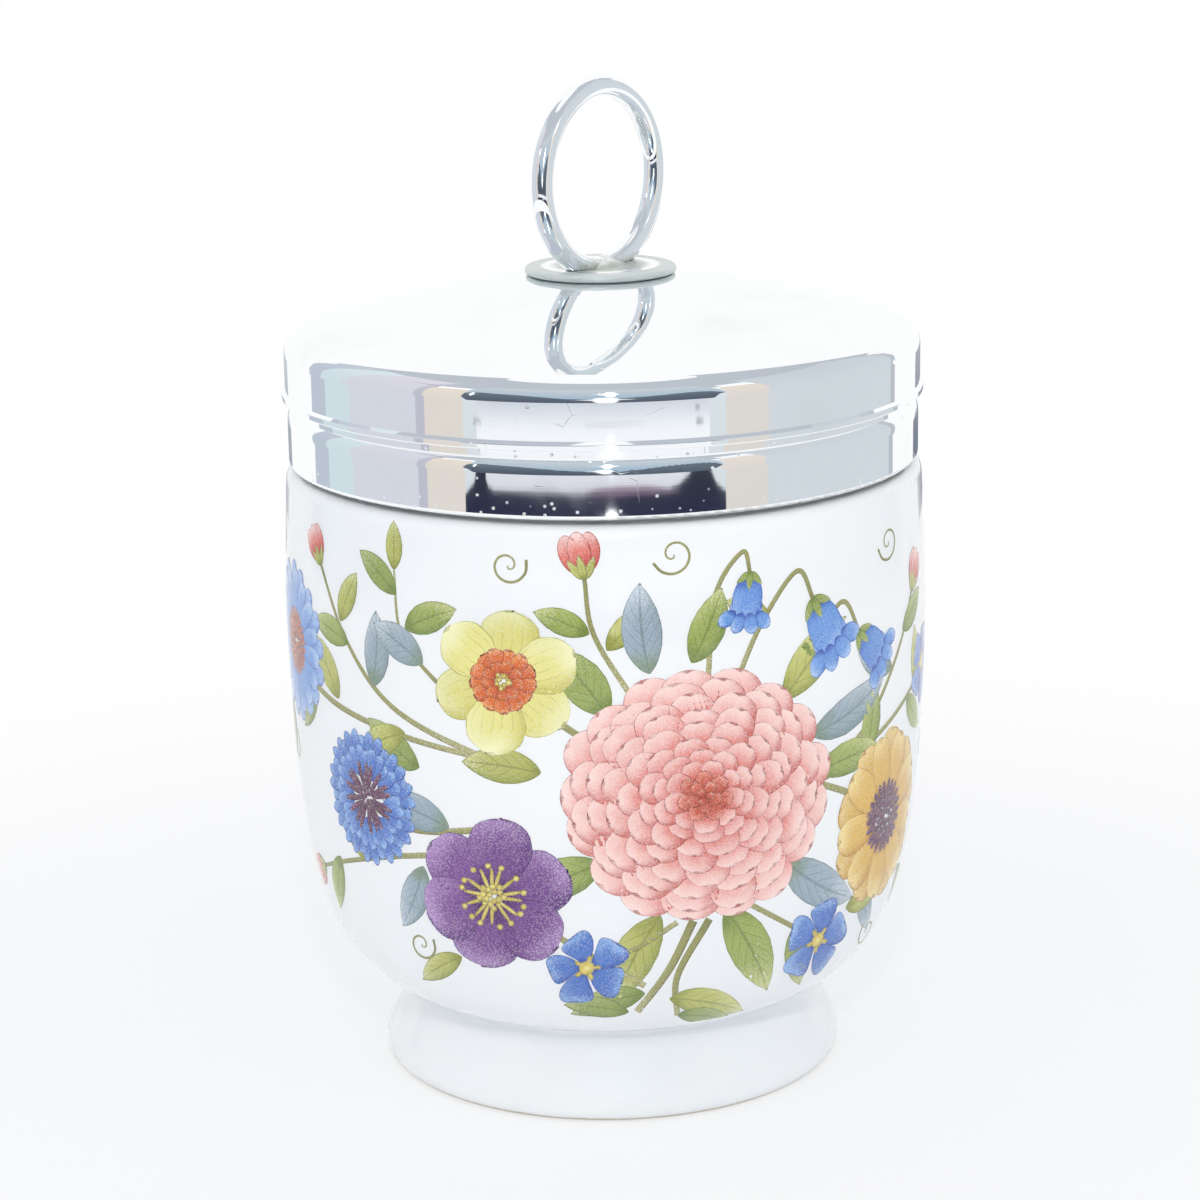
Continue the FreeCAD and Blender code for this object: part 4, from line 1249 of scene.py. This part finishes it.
class CODDLER_OT_set_stage(bpy.types.Operator):
    """Sets the table, the lamps, the cards that the chrome mirrors, and the camera"""

    bl_idname = "coddler.set_stage"
    bl_label = "Set the stage"

    def execute(self, context):
        settings = context.scene.coddler_studio
        lay_floor(settings)
        light_sky(settings)
        hang_lamps(settings)
        stand_cards()
        aim_camera(settings)
        context.scene.view_settings.view_transform = "Standard"
        return {"FINISHED"}


def mesh_piece(name, points, faces, material):
    """A mesh object in the scene."""
    mesh = bpy.data.meshes.new(name)
    mesh.from_pydata([tuple(point) for point in points], [], faces)
    mesh.materials.append(material)
    return link_piece(name, mesh)


def seen_straight(tree):
    """1 for rays from the camera, and for rays by way of a mirror or glass."""
    path = put(tree, "ShaderNodeLightPath").outputs
    seen = calc(tree, "MAXIMUM", path["Is Camera Ray"], path["Is Glossy Ray"])
    return calc(tree, "MAXIMUM", seen, path["Is Transmission Ray"])


def lay_floor(settings):
    """A white table that turns into the white of the background away from the cup."""
    material, tree, shader = new_material("white_table")
    _, across, along, _ = places(tree)
    reach = distance(tree, across, along)
    far = fade(tree, reach, 60 * MM, 220 * MM, 0.55, 1.0)
    glow = put(tree, "ShaderNodeEmission", {"Color": WHITE, "Strength": 1.0})
    mixed = put(tree, "ShaderNodeMixShader", {
        0: product(tree, far, seen_straight(tree)), 1: shader.outputs[0], 2: glow.outputs[0],
    })
    where = put(tree, "ShaderNodeTexCoord").outputs["Object"]
    paper = grain(tree, where, 900.0, 3.0)
    connect(tree, shader, {
        "Base Color": blend(tree, product(tree, paper, 0.03), settings.floor, shade(225, 226, 230)),
        "Roughness": 0.6,
        "Specular IOR Level": 0.2,
    })
    output = next(node for node in tree.nodes if node.type == "OUTPUT_MATERIAL")
    tree.links.new(mixed.outputs[0], output.inputs[0])
    half = 6.0
    corners = [(-half, -half, 0), (half, -half, 0), (half, half, 0), (-half, half, 0)]
    mesh_piece("table", corners, [(0, 1, 2, 3)], material)


def light_sky(settings):
    """Even light from all round, that the camera and mirrors see as plain white."""
    world = bpy.data.worlds.new("studio")
    world.use_nodes = True
    tree = world.node_tree
    tree.nodes.clear()
    soft = put(tree, "ShaderNodeBackground", {"Color": shade(250, 252, 255), "Strength": settings.sky})
    white = put(tree, "ShaderNodeBackground", {"Color": WHITE, "Strength": 1.0})
    mixed = put(tree, "ShaderNodeMixShader", {
        0: seen_straight(tree), 1: soft.outputs[0], 2: white.outputs[0],
    })
    put(tree, "ShaderNodeOutputWorld", {"Surface": mixed.outputs[0]})
    bpy.context.scene.world = world


def hang_lamps(settings):
    """Soft area lamps, and a small one over the camera for the sparkle on the lid's edges."""
    middle = Vector((0, 0, 60 * MM))
    for name, place, width, power in (
        ("key_lamp", (-420 * MM, -380 * MM, 560 * MM), 420 * MM, settings.key),
        ("fill_lamp", (520 * MM, -260 * MM, 380 * MM), 380 * MM, settings.fill),
        ("small_lamp", (3 * MM, -416 * MM, 288 * MM), 18 * MM, settings.spark),
    ):
        lamp = bpy.data.lights.new(name, "AREA")
        lamp.size, lamp.energy = width, power
        held = link_piece(name, lamp)
        held.location = place
        held.rotation_euler = (middle - Vector(place)).to_track_quat("-Z", "Y").to_euler()


# what the chrome mirrors, as curved cards round the table: name, colour at its lower and its upper edge and
# the heights between which they change, distance, and its outline as bearings in degrees from the front
# towards the right, each with the card's lower and upper edge there
CARDS = (
    ("far_left_grey", shade(190, 198, 210), shade(200, 207, 218), 0, 460, 350,
     ((-122, 0, 430), (-120, 0, 460), (-112, 0, 460), (-111, 0, 440))),
    ("left_cyan", shade(208, 223, 229), shade(222, 232, 238), 0, 470, 349, ((-111.5, 0, 460), (-96, 0, 470))),
    ("left_lavender", shade(213, 215, 225), shade(223, 219, 229), 0, 480, 348,
     ((-96.5, 0, 480), (-65, 0, 480))),
    ("left_edge", shade(190, 191, 205), shade(204, 203, 214), 0, 420, 347, ((-65.5, 0, 405), (-61, 0, 420))),
    ("left_beige", shade(224, 217, 209), shade(236, 223, 210), 0, 270, 332,
     ((-61.8, 8, 236), (-61, 2, 256), (-59, 0, 268), (-50, 0, 270), (-48.2, 2, 262), (-47.2, 8, 240))),
    ("left_pale", shade(218, 225, 229), shade(230, 234, 238), 0, 250, 349, ((-48, 0, 240), (-41, 0, 250))),
    ("right_pale", shade(218, 225, 229), shade(230, 234, 238), 0, 250, 349, ((33, 0, 250), (43, 0, 240))),
    ("right_beige", shade(222, 216, 210), shade(234, 223, 212), 0, 270, 332,
     ((41.2, 8, 238), (42, 2, 260), (44, 0, 270), (54, 0, 270), (56, 2, 258), (56.8, 8, 236))),
    ("right_grey", shade(210, 217, 222), shade(204, 211, 217), 0, 470, 348, ((56, 0, 470), (120, 0, 450))),
    ("far_right_edge", shade(186, 192, 200), shade(198, 204, 210), 0, 400, 347,
     ((119.5, 0, 400), (123, 0, 380))),
    ("front_haze", shade(184, 198, 210), shade(200, 208, 214), 200, 410, 346,
     ((-50, 160, 180), (-47, 185, 330), (-43, 205, 400), (-36, 205, 412), (32, 205, 412), (36, 195, 380),
      (40, 150, 240), (41, 138, 150))),
    ("front_grey", shade(168, 190, 208), shade(184, 198, 210), 150, 235, 345.5,
     ((-50.6, 148, 152), (-48, 116, 186), (-45, 66, 214), (-42, 35.4, 228), (-36, 35.3, 232), (30, 35.3, 230),
      (33.5, 35.4, 214), (36.5, 66, 198), (39, 112, 168), (41, 136, 140))),
    ("front_dark", shade(84, 92, 106), shade(104, 116, 128), 36, 200, 345,
     ((-50.2, 146, 150), (-48, 118, 184), (-45, 68, 212), (-42, 35.4, 224), (-37, 35.3, 215),
      (-28, 35.1, 200), (-20, 35.0, 165), (-12, 35.0, 128), (0, 35.0, 120), (12, 35.0, 150),
      (20, 35.1, 175), (28, 35.2, 205),
      (33, 35.4, 206), (36.5, 68, 192), (39, 114, 164), (40.8, 136, 140))),
    ("front_pale", shade(247, 249, 252), shade(213, 218, 227), 27, 35.2, 343,
     ((-42.4, 21, 35.2), (35.5, 21, 35.2))),
    ("low_dark", shade(44, 47, 76), shade(50, 55, 68), 4, 21, 341,
     ((-50.5, 0, 13), (-47, 0, 14.6), (-44, 0, 17), (-42.6, 0, 21.8), (-36, 0, 21.8), (34, 0, 21.8),
      (36.2, 0, 19), (38, 0, 16.4), (40.5, 0, 14.8), (43.5, 0, 13.4))),
    ("low_pale", shade(221, 222, 231), shade(225, 227, 234), 16, 22, 339,
     ((-39.8, 18.6, 22.4), (-39, 16.9, 22.4), (-37, 16.1, 22.4), (-10, 15.9, 22.4), (14, 16, 22.4),
      (20, 16.5, 22.4), (25, 17.5, 22.4), (28.5, 19.6, 22.4), (30, 21.6, 22.4))),
    ("low_plum", shade(104, 88, 112), shade(168, 150, 164), 15.8, 18.4, 337,
     ((-8, 15.9, 16.1), (-3, 15.7, 17.3), (6, 15.7, 18.3), (14, 15.8, 18.1), (21, 16, 17.3),
      (25, 16.3, 16.6))),
    ("left_rail", shade(120, 120, 124), shade(96, 98, 104), 300, 310, 329,
     ((-76, 303, 305), (-70, 300, 308), (-63, 301, 309), (-61, 304, 306))),
    ("left_mark", shade(120, 124, 132), shade(120, 124, 132), 31, 33, 334,
     ((-43.6, 31.4, 32), (-42, 31.9, 32.5), (-40.6, 31.5, 31.9))),
    ("middle_mark", shade(146, 150, 158), shade(146, 150, 158), 31, 32, 334,
     ((-6, 31.35, 31.5), (0, 31.3, 31.55), (8, 31.2, 31.45), (14, 31.25, 31.35))),
    ("right_mark", shade(112, 118, 128), shade(112, 118, 128), 31, 36, 334,
     ((30.4, 31.3, 31.5), (31.6, 31, 32), (33.4, 31.4, 31.7))),
    ("right_speck", shade(112, 118, 128), shade(112, 118, 128), 31, 36, 334,
     ((30.2, 34.2, 34.4), (31.2, 34, 34.8), (32.2, 34.3, 34.5))),
    ("back_shelf", shade(168, 174, 184), shade(214, 219, 226), 10, 44, 347,
     ((-178, 0, 36), (-172, 0, 44), (-158, 0, 46), (-152, 0, 40))),
    ("back_box", shade(118, 124, 138), shade(176, 180, 190), 4, 40, 347,
     ((148, 0, 30), (150, 0, 42), (166, 0, 44), (169, 0, 34))),
)
# the grey ceiling: colour, first and last bearing, height, nearest and furthest reach
CEILING = (shade(190, 196, 205), -128, 132, 500, 130, 700)
# bare lamps that the chrome shows as bright spots: name, bearing, height, width, tall and strength
SPOTS = (
    ("flash", 2.0, 236, 62, 150, 9.0),
    ("desk_lamp", 1.0, 112, 160, 96, 3.2),
    ("side_lamp", -44.2, 172, 22, 84, 4.0),
    ("table_glow", 2.6, 25.4, 74, 9, 2.4),
    ("table_lamp", 2.4, 12.2, 90, 4.6, 4.5),
)
SPOT_REACH = 331


def stand_cards():
    """Cards and bright spots that only mirrors see. They throw neither light nor shadow."""
    for name, low_colour, high_colour, low, high, reach, outline in CARDS:
        rows = [(bearing, (reach, under), (reach, over)) for bearing, under, over in outline]
        mirror_card(name, rows, card_glow(name, low_colour, high_colour, low * MM, high * MM))
    colour, first, last, height, near, far = CEILING
    rows = [(bearing, (near, height), (far, height)) for bearing in (first, last)]
    mirror_card("ceiling", rows, card_glow("ceiling", colour, colour, 0, 1))
    for name, bearing, height, width, tall, strength in SPOTS:
        reach = math.degrees(width / 2 / SPOT_REACH)
        low, high = (SPOT_REACH, height - tall / 2), (SPOT_REACH, height + tall / 2)
        rows = [(bearing - reach, low, high), (bearing + reach, low, high)]
        turned = math.radians(bearing)
        middle = (SPOT_REACH * math.sin(turned) * MM, -SPOT_REACH * math.cos(turned) * MM, height * MM)
        mirror_card(name, rows, spot_glow(name, middle, width * MM, tall * MM, strength))


def mirror_card(name, rows, material):
    """A card round the cup's axis. Each row has a bearing and its two edges as (distance, height)."""
    points, faces = [], []
    for (first, *edges), (last, *next_edges) in zip(rows, rows[1:]):
        steps = max(1, math.ceil((last - first) / 1.5))
        for step in range(steps + 1):
            share = step / steps
            bearing = math.radians(first + (last - first) * share)
            for (reach, height), (next_reach, next_height) in zip(edges, next_edges):
                away = (reach + (next_reach - reach) * share) * MM
                tall = (height + (next_height - height) * share) * MM
                points.append((away * math.sin(bearing), -away * math.cos(bearing), tall))
            if step:
                at = len(points)
                faces.append((at - 4, at - 2, at - 1, at - 3))
    card = mesh_piece(name, points, faces, material)
    for ray in ("camera", "diffuse", "transmission", "volume_scatter", "shadow"):
        setattr(card, "visible_" + ray, False)


def card_glow(name, low_colour, high_colour, low, high):
    """Plain light from one colour at the card's lower edge to another at its upper edge."""
    material, tree = stage_material(name)
    _, _, _, height = places(tree)
    glow = put(tree, "ShaderNodeEmission", {
        "Color": blend(tree, fade(tree, height, low, high), low_colour, high_colour), "Strength": 1.0,
    })
    put(tree, "ShaderNodeOutputMaterial", {"Surface": glow.outputs[0]})
    return material


def spot_glow(name, middle, width, tall, strength):
    """A bright spot that dies away towards its edge, with a long faint arm to either side."""
    material, tree = stage_material(name)
    where = put(tree, "ShaderNodeTexCoord").outputs["Object"]
    apart = put(tree, "ShaderNodeVectorMath", {0: where, 1: middle}, operation="SUBTRACT").outputs[0]
    offsets = put(tree, "ShaderNodeSeparateXYZ", {0: apart}).outputs
    across = calc(tree, "DIVIDE", distance(tree, offsets[0], offsets[1]), width / 2)
    up = calc(tree, "DIVIDE", calc(tree, "ABSOLUTE", offsets[2]), tall / 2)
    core = distance(tree, product(tree, across, 2.6), up)
    heart = fall(tree, core, 0.25, 1.0)
    narrow = calc(tree, "ADD", across, product(tree, up, 2.2))
    arm = fade(tree, narrow, 0.2, 1.0, 0.35, 0.0)
    shine = calc(tree, "MAXIMUM", heart, arm)
    glow = put(tree, "ShaderNodeEmission", {"Color": shade(250, 253, 255), "Strength": strength})
    clear = put(tree, "ShaderNodeBsdfTransparent")
    mixed = put(tree, "ShaderNodeMixShader", {0: shine, 1: clear.outputs[0], 2: glow.outputs[0]})
    put(tree, "ShaderNodeOutputMaterial", {"Surface": mixed.outputs[0]})
    return material


def stage_material(name):
    """A material with no node in it yet."""
    material = bpy.data.materials.new(name)
    material.use_nodes = True
    material.node_tree.nodes.clear()
    return material, material.node_tree


def aim_camera(settings):
    """The camera in front of the cup, turned as its settings say."""
    pitch, yaw, roll = settings.camera_pitch, settings.camera_yaw, settings.camera_roll
    ahead = Vector((math.sin(yaw) * math.cos(pitch), math.cos(yaw) * math.cos(pitch), -math.sin(pitch)))
    right = Vector((math.cos(yaw), -math.sin(yaw), 0))
    up = right.cross(ahead)
    side = right * math.cos(roll) + up * math.sin(roll)
    top = up * math.cos(roll) - right * math.sin(roll)
    lens = bpy.data.cameras.new("camera")
    lens.sensor_width = 36.0
    lens.lens = settings.lens
    lens.clip_start, lens.clip_end = 0.01, 50.0
    held = link_piece("camera", lens)
    turn = Matrix((side, top, -ahead)).transposed()
    held.matrix_world = Matrix.Translation((0, -settings.camera_back, settings.camera_up)) @ turn.to_4x4()
    bpy.context.scene.camera = held


# ---------------------------------------------------------------- panel and registration


class CODDLER_PT_workshop(bpy.types.Panel):
    """The coddler's steps and settings"""

    bl_idname = "CODDLER_PT_workshop"
    bl_label = "Egg Coddler"
    bl_space_type = "VIEW_3D"
    bl_region_type = "UI"
    bl_category = "Coddler"

    def draw(self, context):
        layout = self.layout
        for step in STEPS:
            layout.operator(step.bl_idname)
        for name, _ in SETTINGS:
            group = getattr(context.scene, name)
            box = layout.box()
            for field in group.bl_rna.properties:
                if field.identifier not in {"rna_type", "name"}:
                    box.prop(group, field.identifier)


SETTINGS = (
    ("coddler_glaze", GlazeSettings),
    ("coddler_print", PrintSettings),
    ("coddler_plating", PlatingSettings),
    ("coddler_studio", StudioSettings),
)
STEPS = (
    CODDLER_OT_glaze_cup,
    CODDLER_OT_print_greenery,
    CODDLER_OT_print_blossoms,
    CODDLER_OT_print_dahlia,
    CODDLER_OT_plate_lid,
    CODDLER_OT_fit_seal,
    CODDLER_OT_set_stage,
)


def register():
    for _, group in SETTINGS:
        bpy.utils.register_class(group)
    for step in (*STEPS, CODDLER_PT_workshop):
        bpy.utils.register_class(step)
    for name, group in SETTINGS:
        setattr(bpy.types.Scene, name, PointerProperty(type=group))


def unregister():
    for name, _ in SETTINGS:
        delattr(bpy.types.Scene, name)
    for step in (CODDLER_PT_workshop, *reversed(STEPS)):
        bpy.utils.unregister_class(step)
    for _, group in reversed(SETTINGS):
        bpy.utils.unregister_class(group)


def main():
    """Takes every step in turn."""
    register()
    for step in STEPS:
        section, name = step.bl_idname.split(".")
        getattr(getattr(bpy.ops, section), name)()


if __name__ == "__main__":
    main()
